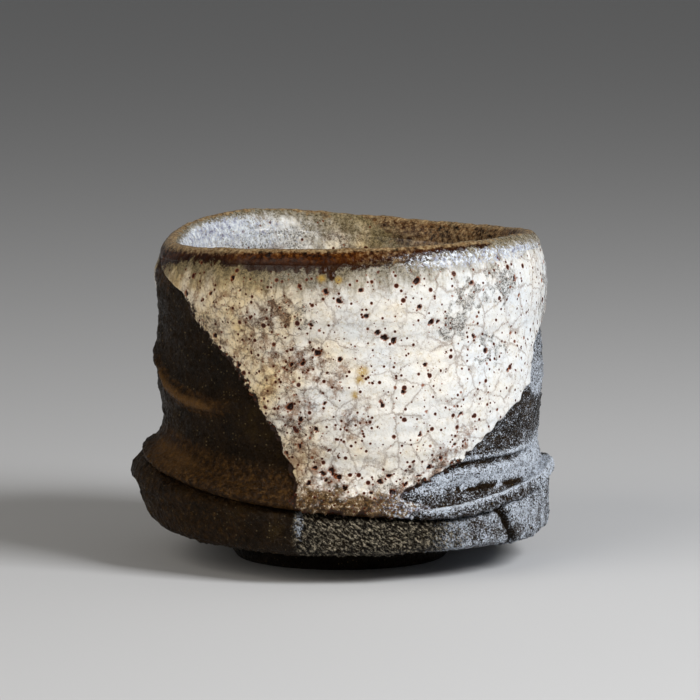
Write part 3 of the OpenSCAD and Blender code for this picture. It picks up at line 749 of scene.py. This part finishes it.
# Burst bubbles in the front dip: angle, height and radius of each
BUBBLES = [
    (292.3, 44.9, 0.4), (295.7, 42.4, 0.42), (297.6, 42.5, 0.3), (280.1, 41, 0.45), (282.3, 40.1, 0.5),
    (285.1, 39.6, 0.5), (287.8, 31.2, 0.42), (281.8, 29.2, 0.36), (292.4, 24.3, 0.4), (294.1, 35.5, 0.35),
    (267.3, 18.7, 0.5), (269.5, 17.3, 0.42), (255.6, 29, 0.6), (258.8, 27, 0.42), (263.1, 25.4, 0.42),
    (265.4, 29.7, 0.4), (261.7, 42.4, 0.45), (263.4, 37.6, 0.6), (259.1, 35.8, 0.42), (255.6, 35.5, 0.36),
    (265.7, 47.5, 0.55), (228.9, 46.4, 0.4), (308.6, 48.1, 0.38), (326, 48.1, 0.45), (304.7, 27.2, 0.36),
    (284, 17.6, 0.45), (275.6, 47.9, 0.36), (269.8, 46.1, 0.36), (291.7, 49, 0.6), (236.5, 49.2, 0.5),
    (217.6, 45.8, 0.5), (238.5, 35, 0.4), (310, 39.5, 0.4), (314, 37, 0.45), (254, 20.5, 0.45),
    (281.4, 16.7, 0.42), (284.8, 14.9, 0.45), (288.9, 16.1, 0.36), (292.8, 17.6, 0.3), (295.8, 18.9, 0.42),
    (299.3, 20.4, 0.3), (278.5, 14.8, 0.36), (271.2, 15.6, 0.4), (265.8, 16.9, 0.36), (262.5, 19, 0.4),
    (264.7, 18, 0.5), (303, 22.3, 0.3), (258, 22.5, 0.4), (260.6, 16.4, 0.45),
]
# Clouds of trapped soot in the front dip: angle, height and radius of each
SOOT = [
    (315.3, 36.8, 2.6), (305.3, 42.1, 2.8), (308, 45.6, 3.2), (320, 48.5, 4), (251.2, 44.4, 3.2),
    (261, 43.8, 2.2), (258.5, 36.5, 2.6), (228, 41, 2.5), (256, 25, 3), (349, 41, 5), (353, 47, 4),
    (346, 32, 4), (284, 16.5, 1.8), (290, 17, 1.8), (296.5, 18.8, 1.8),
]
# Rusty stains and clustered pinholes in the front dip: angle, height and radius of each
RUST = [
    (258, 36, 5), (257.5, 28, 5), (260, 20, 6), (266, 15, 5), (250.5, 44, 4), (241, 42, 3.5), (236, 46, 3),
    (277, 13.5, 4), (290, 15, 4.5), (299, 18.5, 4), (268, 33, 3), (272, 26, 3), (246, 38, 4), (252, 33, 4),
    (306, 23.5, 2.5),
]
# Golden stains in the front dip, and one dark drip of the rim's glaze: angle, height and radius of each
GOLD = [(276.2, 34.7, 1.5), (275.4, 33.4, 1.2), (274, 31, 1.0), (269.4, 49.4, 0.9), (264.6, 49.6, 1.0)]
DRIP = [(267.1, 49.9, 1.1), (264.9, 50.6, 0.9)]
# Width of the brown band outside the lip at these angles, where below 0 is no band
BAND_AT = [0, 14, 30, 180, 192, 205, 214, 226, 234, 244, 256, 270, 287, 297, 315, 323, 340, 360]
BAND_WIDTH = [-2, -1.5, 1.7, 1.7, 3, 1.9, 1.1, 1.0, 1.6, 2.1, 2.2, 2.0, 1.5, 0.6, -0.1, -0.9, -2, -2]
# Glassy beads at the foot of the front dip: angle, height and radius of each
BEADS = [
    (258.3, 15.7, 0.75), (270.6, 11.9, 0.5), (271.7, 12.9, 0.5), (278, 12.8, 0.55), (291.7, 12.4, 0.75),
    (262, 13, 0.5), (266, 12.4, 0.4), (283, 13.4, 0.5), (287, 12.6, 0.4), (296, 13.2, 0.4),
]


def hem_and_band(t):
    """Heights of the white dips' hem and of the brown band's lower edge."""
    return seam_z(t) + HEM_H, lip_z(t) - RIM_DROP_OUT


def spots_at(t, z, spots, full, none):
    """The greatest of what each round spot gives: 1 within the share full of its radius, and softly down to
    0 at the share none of it."""
    value = 0 * t
    for at, height, radius in spots:
        away = np.hypot(turned(t, at) * MM_TO_A_DEGREE, z - height) / radius
        value = np.maximum(value, ramp(-away, -none, -full))
    return value


def wandering(place, t, z, spots):
    """The same for spots whose outlines wander by a few millimetres."""
    wander_t = 5 * cloud(place, 2.6, 71)
    wander_z = 2 * cloud(place, 2.6, 72)
    return spots_at(t + wander_t, z + wander_z, spots, 0.2, 1.3)


def ridge_height(t):
    """Height of the ridge that a dragged finger left in the wall."""
    return np.interp(t, FINGER_AT, FINGER_Z)


def finger_marks(place, t):
    """The marks that fingers left in the wall, in millimetres outwards: at the left front a ridge under a
    hollow, at the left a broad swell, and turning rings all round."""
    z = place[:, 2]
    above_ridge = z - ridge_height(t)
    ridge = bell(above_ridge, 1.2) * near(t, 212, 16, 36)
    ridge -= 0.6 * bell(above_ridge - 4, 2.6) * near(t, 222, 18, 34)
    ridge += 0.55 * bell(z - 38, 6) * near(t, 178, 8, 30)
    rings = 0.04 * np.sin(z * 1.25 + np.radians(t)) + 0.04 * np.sin(z * 2.9 - np.radians(t) * 2)
    uneven = 0.1 * cloud(place, 12.0, 21, 2) + 0.06 * cloud(place, 4.5, 22, 2)
    return 0.85 * ridge + rings + uneven + folds(z, t)


def fold_line(t, heights):
    """Height of a fold's line on the right of the skirt."""
    return np.interp(from_left(t), np.linspace(FOLDS_FROM, FOLDS_TO, len(heights)), heights)


def folds(z, t):
    """The creases that pressing the lap on left in the skirt at the right, in millimetres outwards."""
    shown = near(t, 326, 18, 34)
    crease = bell(z - fold_line(t, CREASE_Z), 0.5)
    hollow = bell(z - fold_line(t, CREASE_Z) + 0.9, 0.5)
    swell = bell(z - fold_line(t, FOLD_Z), fold_width(t, 1.5, 2.6))
    slit = bell(z - fold_line(t, SLIT_Z), 0.55)
    return shown * (0.45 * crease - 0.6 * hollow + 1.0 * swell - 1.0 * slit * near(t, 318, 8, 18))


def fold_width(t, left, right):
    """The swell's breadth in millimetres, which grows to the right."""
    return mix(left, right, ramp(from_left(t), 315, 345))


def fold_frost_and_shading(place, t):
    """The share of the pale bluish skin on the folds: painted highlights on their crests, and painted shade
    in the valleys between them and in the slit. A few pale stones show in the slit, and higher up the pale
    skin starts again above a round edge."""
    z = place[:, 2]
    crease = bell(z - fold_line(t, CREASE_Z), 0.4)
    valley = bell(z - fold_line(t, CREASE_Z) + 0.95, 0.5) * (1 - ramp(from_left(t), 330, 345))
    swell = bell(z - fold_line(t, FOLD_Z) + 0.3, fold_width(t, 1.8, 3.4))
    slit = bell(z - fold_line(t, SLIT_Z) - 0.35, 0.45) * near(t, 318, 8, 18)
    stones = ramp(cloud(place, 1.4, 82, 2), -0.1, 0.3) * near(t, 312, 8, 14)
    edge = 27.3 + 0.012 * (from_left(t) - 350) ** 2
    high = ramp(z - edge + 0.5 * cloud(place, 1.2, 83), -0.4, 0.9)
    pale = 0.45 * crease + 0.76 * swell - 0.5 * valley - mix(0.9, -0.45, stones) * slit + 0.6 * high
    return np.clip(0.3 + pale, 0, 0.84)


def wall_surface(row, t):
    """Places and outward directions on the wall's clay, with its finger marks but without its grit."""
    place, normal = with_normals(wall_points(t), row, t)
    outside = ramp(row, 3.5, 5.5) * (1 - ramp(row, BAND_ROW - 1.5, BAND_ROW))
    place += normal * (finger_marks(place, t) * outside)[:, None]
    return place, normal


def grit(place, depth=0.17):
    """The sandy skin of bare clay: grains that stand out of it, and the pits between them."""
    away, size, _ = nearest(place, 0.85, 3)
    grains = np.clip(1 - away / (0.3 + 0.25 * size), 0, 1)
    return depth * (1.1 * grains + 0.7 * cloud(place, 1.1, 7, 2) + 0.7 * cloud(place, 3.5, 2, 2) - 0.4)


def frost_and_light_share(place, t, start):
    """How pale and bluish the clay is, partly ash it caught and partly painted light on the lit right side:
    most low down on the right, from the start angle on.
    """
    at = from_left(t) + 7 * cloud(place, 6.0, 80)
    return ramp(from_left(t), start, start + 14) * (1 - ramp(at, 352, 388)) * ramp(-place[:, 2], -56, -24)


def make_wall():
    """The thrown wall, with its skirt folded out at the foot."""
    outside = even_rows(wall_points, 0, BAND_ROW, CLAY_STEP)
    rows = np.concatenate([outside, np.arange(BAND_ROW + 0.5, LAST_ROW + 0.1, 0.5)])
    obj, row, _, t = wrapped("wall", rows, COLUMNS, True, clay)
    place, normal = wall_surface(row, t)
    bare = ramp(row, 0.6, 1.2) * (1 - ramp(row, BAND_ROW - 0.5, BAND_ROW))
    place += normal * (grit(place) * bare)[:, None]
    # Golden brown on the skirt at the left, in a cloud under the lip, and most on the finger ridge and the
    # skirt's
    # edge: partly browning by the flame, partly painted light on the lit flare, and a painted highlight along
    # the ridge
    z = place[:, 2]
    above_hem = z - seam_z(t) - HEM_H
    flare = (1 - ramp(above_hem, 0.0, 6.0)) * near(t, 232, 30, 66)
    under_lip = ramp(z - lip_z(t) + 1.5 * cloud(place, 3.0, 76), -8, -4) * near(t, 192, 12, 40)
    ridge = bell(z - ridge_height(t), 1.6) * near(t, 212, 10, 30)
    edge = bell(above_hem - 0.5, 2.2) * near(t, 205, 8, 26)
    toasted = np.clip(flare + 0.9 * under_lip, 0, 1) + 1.7 * ridge + 0.5 * edge
    # Pale and bluish low on the right, partly ash and partly painted light, with painted highlights on the
    # folds' crests and painted shade in their valleys
    write_shape(obj, place, toasted=toasted, frost=frost_and_light_share(place, t, 280) * fold_frost_and_shading(place, t), scraped=0)


def make_base():
    """The slab under the wall, with the cup's floor on it and a nub in the middle of its underside."""
    floor_rows = np.linspace(0, len(FLOOR), 7)
    side_last = 8
    side_rows = even_rows(side_points, 0, side_last, CLAY_STEP * 0.9)
    nub = [(1, 0), (0.6, 0.45), (0.25, 0.9), (0, 1)]
    under = np.array([(NUB_R * out, BASE_Z - NUB_H * down) for out, down in nub])
    n_floor, n_side = len(floor_rows), len(side_rows)
    rows = np.concatenate([floor_rows, side_rows, np.arange(len(under))])
    obj, row, index, t = wrapped("base", rows, COLUMNS, False, clay)
    place = np.zeros((len(row), 3))
    normal = np.zeros((len(row), 3))
    top = index < n_floor
    side = (index >= n_floor) & (index < n_floor + n_side)
    low = index >= n_floor + n_side
    place[top], normal[top] = with_normals(floor_points(t[top]), row[top], t[top])
    place[side], normal[side] = with_normals(side_points(t[side]), row[side], t[side])
    normal[side] *= -1
    flat = under[row[low].astype(int)]
    turn = np.radians(t[low])
    place[low] = np.stack([flat[:, 0] * np.cos(turn), flat[:, 0] * np.sin(turn), flat[:, 1]], 1)
    # The crack where the clay tore, with the skin to its right pushed out a little
    slant = turned(t, CRACK_AT) + 0.9 * (place[:, 2] - 9)
    crack = CRACK_DEPTH * bell(slant, 1.0 + 0.9 * ramp(place[:, 2], 8, 11))
    proud = 0.45 * ramp(slant, 0, 1.5) * (1 - ramp(slant, 14, 34))
    # Slanting scratches that the trimming knife dragged down to the right through the front
    down_right = place[:, 0] * 0.8 - place[:, 2] * 0.6
    across = place[:, 0] * 0.6 + place[:, 2] * 0.8
    stretched = np.stack([down_right * 0.5, place[:, 1] * 0.3, across * 1.6], 1)
    facet = ramp(t, 256.8, 258) * (1 - ramp(t, 300, 312))
    scratches = cloud(stretched, 1.0, 11, 2) * facet
    # At the left the rolled clay laps up over the skirt's edge
    lap_up = 1.5 * near(t, 188, 14, 25) * bell(row - 1.7, 0.8) * side
    outer = side * ramp(row, 0.3, 1.0) * (1 - ramp(row, side_last - 0.8, side_last))
    place += normal * (outer * (grit(place, 0.25) + proud - crack + 0.16 * scratches))[:, None]
    place[:, 2] += lap_up
    place[:, :2] *= (1 - 0.026 * lap_up)[:, None]
    # Pale at the corner where the scratched facet begins, a painted highlight, and pale and bluish on the
    # right, partly ash and partly painted light, but not in the crack, which stays dark
    corner = 0.62 * bell(t - 258.6, 1.2) * ramp(place[:, 2], 5.5, 9)
    ash_and_light_on_base = frost_and_light_share(place, t, 291) * (0.58 + 0.05 * np.sign(slant)) * (1 - bell(slant, 1.6))
    ash_and_light_on_base *= 1 + 0.35 * cloud(place, 3.0, 81, 2)
    frost = np.maximum(ash_and_light_on_base, corner)
    write_shape(obj, place, toasted=0.42 * near(t, 215, 20, 60), frost=frost, scraped=facet * side)


def dip_depth(t, z, start, end, fringe):
    """Distance inside the edge of a white dip, negative outside it."""
    hem_z, band_z = hem_and_band(t)
    share = (z - hem_z) / (band_z - hem_z)
    arc = MM_TO_A_DEGREE * 0.78
    spread = 9 * ramp(hem_z - z, -1.0, 1.5) if fringe else 0
    left = (t - along(start, share)) * arc
    right = (along(end, share) + spread - t) * arc
    bottom = z - hem_z + (2.4 if fringe else 0.3)
    return np.minimum(np.minimum(left, right), bottom)


def lip_skin(place):
    """The unevenness of the lip's coat in millimetres, which the tops of the dips share."""
    return 0.12 * cloud(place, 5.0, 16, 2) + 0.07 * cloud(place, 1.3, 6) + 0.04 * cloud(place, 0.6, 17, 2)


def lining_skin(place):
    """The unevenness of the lining in millimetres."""
    return 0.16 * cloud(place, 5.0, 3, 2) + 0.07 * cloud(place, 1.6, 5, 2)


def make_dip(name, start, end, fringe):
    """A white dip over the wall, between two edges. The front one has a fringe at its foot, and the stains,
    the drip and the beads that are listed one by one."""
    t0, t1 = min(start) - 3, max(end) + 3
    rows = even_rows(wall_points, 1.2 if fringe else HEM_ROW - 0.75, BAND_ROW + 0.6, GLAZE_STEP)
    columns = int((t1 - t0) * MM_TO_A_DEGREE / GLAZE_STEP)

    def angle_and_row(u, v):
        return mix(t0, t1, u), np.interp(v, np.linspace(0, 1, len(rows)), rows)

    def keep(u, v):
        t, row = angle_and_row(u, v)
        place, _ = wall_surface(row, t)
        return dip_depth(t, place[:, 2], start, end, fringe) > -1.4

    obj, u, v, front = sheet(name, columns, len(rows), white, keep)
    t, row = angle_and_row(u, v)
    place, normal = wall_surface(row, t)
    z = place[:, 2]
    hem_z, band_z = hem_and_band(t)
    below = band_z - z
    # Edges: ragged, broken at the left, and torn where the front one runs out at the right of its foot
    inside = dip_depth(t, z, start, end, fringe)
    broken = near(t, 231, 8, 22)
    torn = near(t, 299, 6, 16) * ramp(-z, -24, -20) if fringe else 0 * t
    frayed = 0.15 + 0.6 * broken + 0.7 * torn
    ragged = inside + 0.5 * cloud(place, 2.4, 5) + frayed * cloud(place, 0.9, 9, 3)
    # Thickness: thin low down, at the far right and at the lip, where the brown coat meets it
    reach = np.interp(t, [256, 262, 270, 290], [6.5, 4.2, 2.6, 2.4])
    low = 1 - ramp((z - hem_z + 1.4 * cloud(place, 2.2, 75)) / reach, -0.5, 1.2)
    full = DIP_T * mix(1, 0.3, low) * mix(1, 0.7, ramp(t, 335, 365))
    full = np.minimum(full, mix(RIM_T - 0.04, full, ramp(below, -0.3, 2.8)))
    full -= 0.3 * ramp(-below, 0.4, 0.72)
    thick = np.where(ragged < 0, ragged * 0.35, full * rounded(ragged / 0.9))
    # Orange-peel swell, the craters of burst bubbles, and beads along the foot
    swell = 0.09 * cloud(place, 3.2, 4, 2) + 0.025 * cloud(place, 1.2, 8, 2)
    gap, size, kind = nearest(place, 3.1, 31)
    strewn = ramp(-gap / (0.22 + 0.3 * size), -1.15, -0.5) * (kind < 0.55)
    torn_t = t + 0.45 * cloud(place, 0.7, 78, 2)
    torn_z = z + 0.25 * cloud(place, 0.7, 79, 2)
    pit = np.maximum(strewn, spots_at(torn_t, torn_z, BUBBLES, 0.45, 1.1)) * ramp(ragged, 0.3, 0.8)
    pit *= ramp(below, 0.5, 1.5)
    bead_gap, bead_size, _ = nearest(place, 1.3, 41)
    beads = rounded(1 - bead_gap / (0.35 + 0.3 * bead_size)) * low
    beads = np.maximum(beads, 1.4 * spots_at(t, z, BEADS, 0.1, 1.0)) if fringe else beads * 0.6
    crust = swell * rounded(ragged / 1.5) - 0.55 * pit + 0.4 * beads
    crust = mix(lip_skin(place) * ramp(ragged, 0.2, 1.0), crust, ramp(below, 0.2, 1.4))
    by_hand = 1.0 if fringe else 0.0
    drip = by_hand * spots_at(t, z, DRIP, 0, 1)
    lift = LAYER_GAP + thick + np.where(ragged > 0, crust, 0)
    lift = np.where(front, lift + 0.35 * drip, np.minimum(lift, 0) - 0.3)
    place += normal * lift[:, None]
    pearl = 0.8 * ramp(-np.abs(below), -1.6, 0) * near(t, 312, 12, 32)
    pearl = np.maximum(pearl, 0.7 * low * near(t, 300, 8, 24))
    edge_width = mix(0.6, 2.2, np.maximum(broken, torn))
    # Warm at the left, partly a creamy stain and partly painted warm light on the shaded side, and cool at
    # the right, partly painted cool light on the lit side
    cream = near(t, 215, 16, 66) - 0.4 * ramp(from_left(t), 280, 320)
    worn = 0.42 * near(t, 284, 6, 20) * ramp(-below, -0.6, 0.4)
    write_shape(obj, place, thin=1 - np.clip(ragged / edge_width, 0, 1), pit=pit, fringe=low, pearl=pearl,
                below=mix(below_band(place, t), -0.1, np.clip(2 * drip, 0, 1)), cream=cream, worn=worn,
                gold=by_hand * spots_at(t, z, GOLD, 0.2, 1), soot=by_hand * wandering(place, t, z, SOOT),
                rust=by_hand * wandering(place, t, z, RUST))


def below_band(place, t):
    """Depth under the lower edge of the brown band outside the lip, which wanders and ends at the right."""
    return lip_z(t) - place[:, 2] - np.interp(np.mod(t, 360), BAND_AT, BAND_WIDTH)


def below_inner_edge(place, t):
    """Depth under the lower edge of the brown inside the lip, which runs far down at the back right, shows
    as a stain from there to the back left, and hardly gets over the lip at the left."""
    streaky = place * np.array([1, 1, 0.35])
    away = apart(t + 8 * cloud(streaky, 4.0, 73), 28)
    depth = lip_z(t) - place[:, 2]
    over_lip = mix(0.9, -0.6, near(t, 150, 34, 62))
    stain = mix(np.minimum((depth - over_lip) * 2.5, 12), 1.6 + 0.55 * depth, ramp(-away, -92, -62))
    return mix(stain, (depth - 14) * 0.4, ramp(-away, -68, -4))


def inner_cream(t):
    """How creamy the inside is: cool and white at the left, stained before the brown at the back."""
    return mix(-0.7, 0.9, near(t, 60, 28, 62))


def inner_milk_and_reflection(place, t):
    """How milky the inside is, partly milky crystals and partly painted reflection of the light: most just
    under the lip at the left.
    """
    depth = lip_z(t) - place[:, 2] - 1.2 * near(t, 95, 15, 40)
    return near(t, 165, 20, 75) * ramp(depth, -0.4, 0.8) * ramp(-depth, -7, -2.5)


def inner_soot(place, t):
    """How sooty the inside is: a little all over, and most in a thin line where the milky band ends."""
    line = lip_z(t) - place[:, 2] - 3.4 - 0.4 * cloud(place, 5.0, 77)
    return 0.55 + 0.9 * bell(line, 0.3) * near(t, 118, 30, 58)


def make_rim():
    """The iron-brown coat over the lip, from its lower edge outside to the lining inside."""
    outer = even_rows(wall_points, BAND_ROW, LINING_ROW, 0.28)
    inner = np.linspace(LINING_ROW, BAND_ROW, 9)
    rows = np.concatenate([outer, inner])
    layer = np.concatenate([np.ones(len(outer)), np.zeros(len(inner))])
    obj, row, index, t = wrapped("rim_glaze", rows, RIM_COLUMNS, True, brown)
    place, normal = with_normals(wall_points(t), row, t)
    full = RIM_T * mix(0.82, 1, rounded(row - BAND_ROW))
    full += (LINING_T - RIM_T) * ramp(row, LINING_ROW - 1, LINING_ROW)
    full -= 0.22 * (1 - ramp(row, BAND_ROW, BAND_ROW + 0.3))
    full -= 0.06 * ramp(row, LINING_ROW - 0.9, LINING_ROW - 0.3)
    uneven = mix(lip_skin(place), lining_skin(place), ramp(row, LINING_ROW - 1, LINING_ROW - 0.5))
    lift = np.where(layer[index] > 0, LAYER_GAP + full + uneven * rounded((row - BAND_ROW) / 0.25), 0.03)
    place += normal * lift[:, None]
    # Milky inside the lip at the left, partly painted reflection of the light, and under the band at the
    # right
    pearl = np.maximum(inner_milk_and_reflection(place, t) * ramp(row, 12.4, 13.2),
                       0.9 * near(t, 320, 18, 40) * (1 - ramp(row, 11.6, 12.6)))
    turned_in = ramp(row, 12.5, 13.3)
    below = mix(below_band(place, t), below_inner_edge(place, t), turned_in)
    # Golden along the lip's crest, partly the iron glaze breaking thin there and partly a painted highlight,
    # and in a patch at the front
    at_left = near(t, 205, 20, 45)
    crest = ramp(place[:, 2] - lip_z(t), mix(-0.8, -1.7, at_left), 0.4) * mix(0.62, 0.72, at_left)
    crest = np.maximum(crest, 0.42 * near(t, 284, 6, 20))
    soot = np.maximum(inner_soot(place, t) * turned_in, 0.6 * near(t, 345, 14, 34))
    # Warm outside at the left, partly a creamy stain and partly painted warm light on the shaded side
    cream = mix(near(t, 215, 16, 58), inner_cream(t), turned_in)
    worn = np.maximum(crest, 0.5 * turned_in)
    write_shape(obj, place, below=below, pearl=pearl, soot=soot, cream=cream, worn=worn,
                thin=0, pit=0, fringe=0, rust=0)


def make_lining():
    """The white coat inside, on the floor and up the wall."""
    floor_rows = np.linspace(0, len(FLOOR), 44)
    wall_rows = even_rows(wall_points, LINING_ROW - 0.45, LAST_ROW - 0.25, 0.45)[::-1]
    face_rows = np.concatenate([floor_rows, wall_rows])
    is_floor = np.concatenate([np.ones(len(floor_rows)), np.zeros(len(wall_rows))])
    rows = np.concatenate([face_rows[::4], face_rows[::-1]])
    on_floor = np.concatenate([is_floor[::4], is_floor[::-1]]) > 0
    layer = np.concatenate([np.zeros(len(face_rows[::4])), np.ones(len(face_rows))]) > 0
    obj, row, index, t = wrapped("lining_glaze", rows, LINING_COLUMNS, False,
                                 lining_white)
    front, flat = layer[index], on_floor[index]
    place = np.zeros((len(row), 3))
    normal = np.zeros((len(row), 3))
    place[flat], normal[flat] = with_normals(floor_points(t[flat]), row[flat], t[flat])
    normal[flat] *= -1
    place[~flat], normal[~flat] = with_normals(wall_points(t[~flat]), row[~flat], t[~flat])
    gap, size, kind = nearest(place, 3.4, 51)
    pit = ramp(-gap / (0.2 + 0.3 * size), -1.15, -0.5) * (kind < 0.12)
    free = np.where(flat, 1, ramp(row, LINING_ROW, LINING_ROW + 0.5))
    # Its upper end is tucked under the brown coat
    tucked = 0.26 * (1 - ramp(row, LINING_ROW - 0.45, LINING_ROW - 0.25))
    tucked += 0.04 * (1 - ramp(row, LINING_ROW - 0.25, LINING_ROW + 0.3))
    full = LAYER_GAP + LINING_T - np.where(flat, 0, tucked)
    lift = np.where(front, full + lining_skin(place) - 0.35 * pit * free, 0.03)
    place += normal * lift[:, None]
    write_shape(obj, place, below=below_inner_edge(place, t), pearl=inner_milk_and_reflection(place, t),
                soot=inner_soot(place, t), cream=inner_cream(t), worn=0.5, thin=0, pit=pit * front, fringe=0,
                rust=0)


def make_foot():
    """The turned foot ring."""
    inner = FOOT_R - FOOT_W
    corners = [
        (inner + FOOT_BEVEL, 0),
        (FOOT_R - FOOT_BEVEL, 0),
        (FOOT_R, FOOT_BEVEL),
        (FOOT_R + FOOT_SPREAD, FOOT_H),
        (inner - FOOT_SPREAD, FOOT_H),
        (inner, FOOT_BEVEL),
    ]
    loop = np.array(corners + corners[:1], float)
    reach = np.concatenate([[0], np.cumsum(np.linalg.norm(np.diff(loop, axis=0), axis=1))])
    rows = np.sort(np.concatenate([np.arange(0.25, reach[-1] - 0.2, 0.5), reach[:-1]]))
    obj, row, _, t = wrapped("foot_ring", rows, FOOT_COLUMNS, True, raw)
    r = np.interp(row, reach, loop[:, 0])
    z = np.interp(row, reach, loop[:, 1])
    turn = np.radians(t)
    place = np.stack([r * np.cos(turn), r * np.sin(turn), z], 1)
    # Turning lines, and the drag of coarse grains under the knife
    drag = 0.08 * np.sin(z * 7.0) + grit(place, 0.12)
    free = ramp(z, 0.2, 0.8) * (1 - ramp(z, FOOT_H - 0.3, FOOT_H))
    outward = np.where(r > FOOT_R - FOOT_W / 2, 1.0, -1.0) * drag * free
    place[:, 0] += outward * np.cos(turn)
    place[:, 1] += outward * np.sin(turn)
    write_shape(obj, place, toasted=0.2, frost=0, scraped=0)


def make_lap():
    """The strip of clay lapped over the skirt's edge at the right."""
    obj, u, v, front = sheet("clay_lap", 300, 44, clay)
    t = mix(LAP_FROM, LAP_TO, u)
    row = mix(1.0, 2.4 + 0.9 * np.sin(np.pi * u) ** 0.7, v)
    place, normal = wall_surface(row, t)
    across = np.sqrt(np.clip(np.sin(np.pi * v), 0, 1))
    crest = v - 0.78
    thick = LAP_T * rounded(np.minimum(u, 1 - u) * 5) * (0.8 + 0.5 * bell(crest, 0.14)) * across
    thick += grit(place, 0.22) * across + 0.3 * cloud(place, 4.0, 61, 2) * across
    place += normal * np.where(front, 0.02 + thick, -0.2)[:, None]
    # Palest along the lap's crest, a painted highlight, and at its right end; the pale, bluish skin is partly
    # ash and partly painted light
    pale = mix(np.clip(0.35 + 0.6 * bell(crest, 0.16), 0, 1), 0.85, ramp(t, 328, 345))
    write_shape(obj, place, toasted=0.1, frost=frost_and_light_share(place, t, 284) * pale, scraped=0)


make_wall()
make_base()
make_foot()
make_lap()
make_lining()
make_rim()
make_dip("front_glaze", FRONT_FROM, FRONT_TO, True)
make_dip("back_glaze", BACK_FROM, BACK_TO, False)


# Floor, light and camera

def studio():
    world = bpy.data.worlds.new("studio")
    bpy.context.scene.world = world
    world.use_nodes = True
    tree = world.node_tree
    tree.nodes.clear()
    add(tree, "OutputWorld", {}, add(tree, "Background", {}, Color=rgb("cbcac8"), Strength=0.24))
    bm = bmesh.new()
    bmesh.ops.create_grid(bm, x_segments=1, y_segments=1, size=3.0)
    mesh = bpy.data.meshes.new("floor")
    bm.to_mesh(mesh)
    bm.free()
    floor = bpy.data.objects.new("floor", mesh)
    bpy.context.scene.collection.objects.link(floor)
    # Pale matt paper, which gives the cup a soft shadow
    material, tree = new_material("matt_paper_floor")
    surface = add(tree, "BsdfPrincipled", {}, Base_Color=rgb("c9cbce"), Roughness=0.8)
    add(tree, "OutputMaterial", {}, surface)
    mesh.materials.append(material)


def lamp(name, place, aim, size, power, colour):
    """A square lamp, in metres and watts, that faces the point aim."""
    data = bpy.data.lights.new(name, "AREA")
    data.shape = "SQUARE"
    data.size = size
    data.energy = power
    data.color = colour
    obj = bpy.data.objects.new(name, data)
    bpy.context.scene.collection.objects.link(obj)
    obj.location = place
    way = Vector(aim) - Vector(place)
    obj.rotation_euler = way.to_track_quat("-Z", "Y").to_euler()


def camera():
    """The photograph's view: a long lens 7 degrees above the table, with 6 pixels to the millimetre."""
    distance, tilt = 0.8, math.radians(7)
    look_x, look_z = 0.0015, 0.0342
    pixels_per_mm, frame_px, sensor = 6.0, 700, 36.0
    data = bpy.data.cameras.new("camera")
    data.sensor_width = sensor
    data.lens = sensor * pixels_per_mm * distance / MM / frame_px
    data.clip_start, data.clip_end = 0.05, 20
    obj = bpy.data.objects.new("camera", data)
    bpy.context.scene.collection.objects.link(obj)
    obj.location = (look_x, -distance * math.cos(tilt), look_z + distance * math.sin(tilt))
    obj.rotation_euler = (math.pi / 2 - tilt, 0, 0)
    bpy.context.scene.camera = obj


studio()
lamp("key", (0.42, -0.3, 0.42), (0, 0, 0.03), 0.26, 4.3, (1.0, 0.99, 0.98))
lamp("fill", (-0.5, -0.45, 0.45), (0, 0, 0.03), 0.6, 2.4, (1.0, 0.92, 0.81))
camera()
bpy.context.scene.view_settings.view_transform = "Standard"
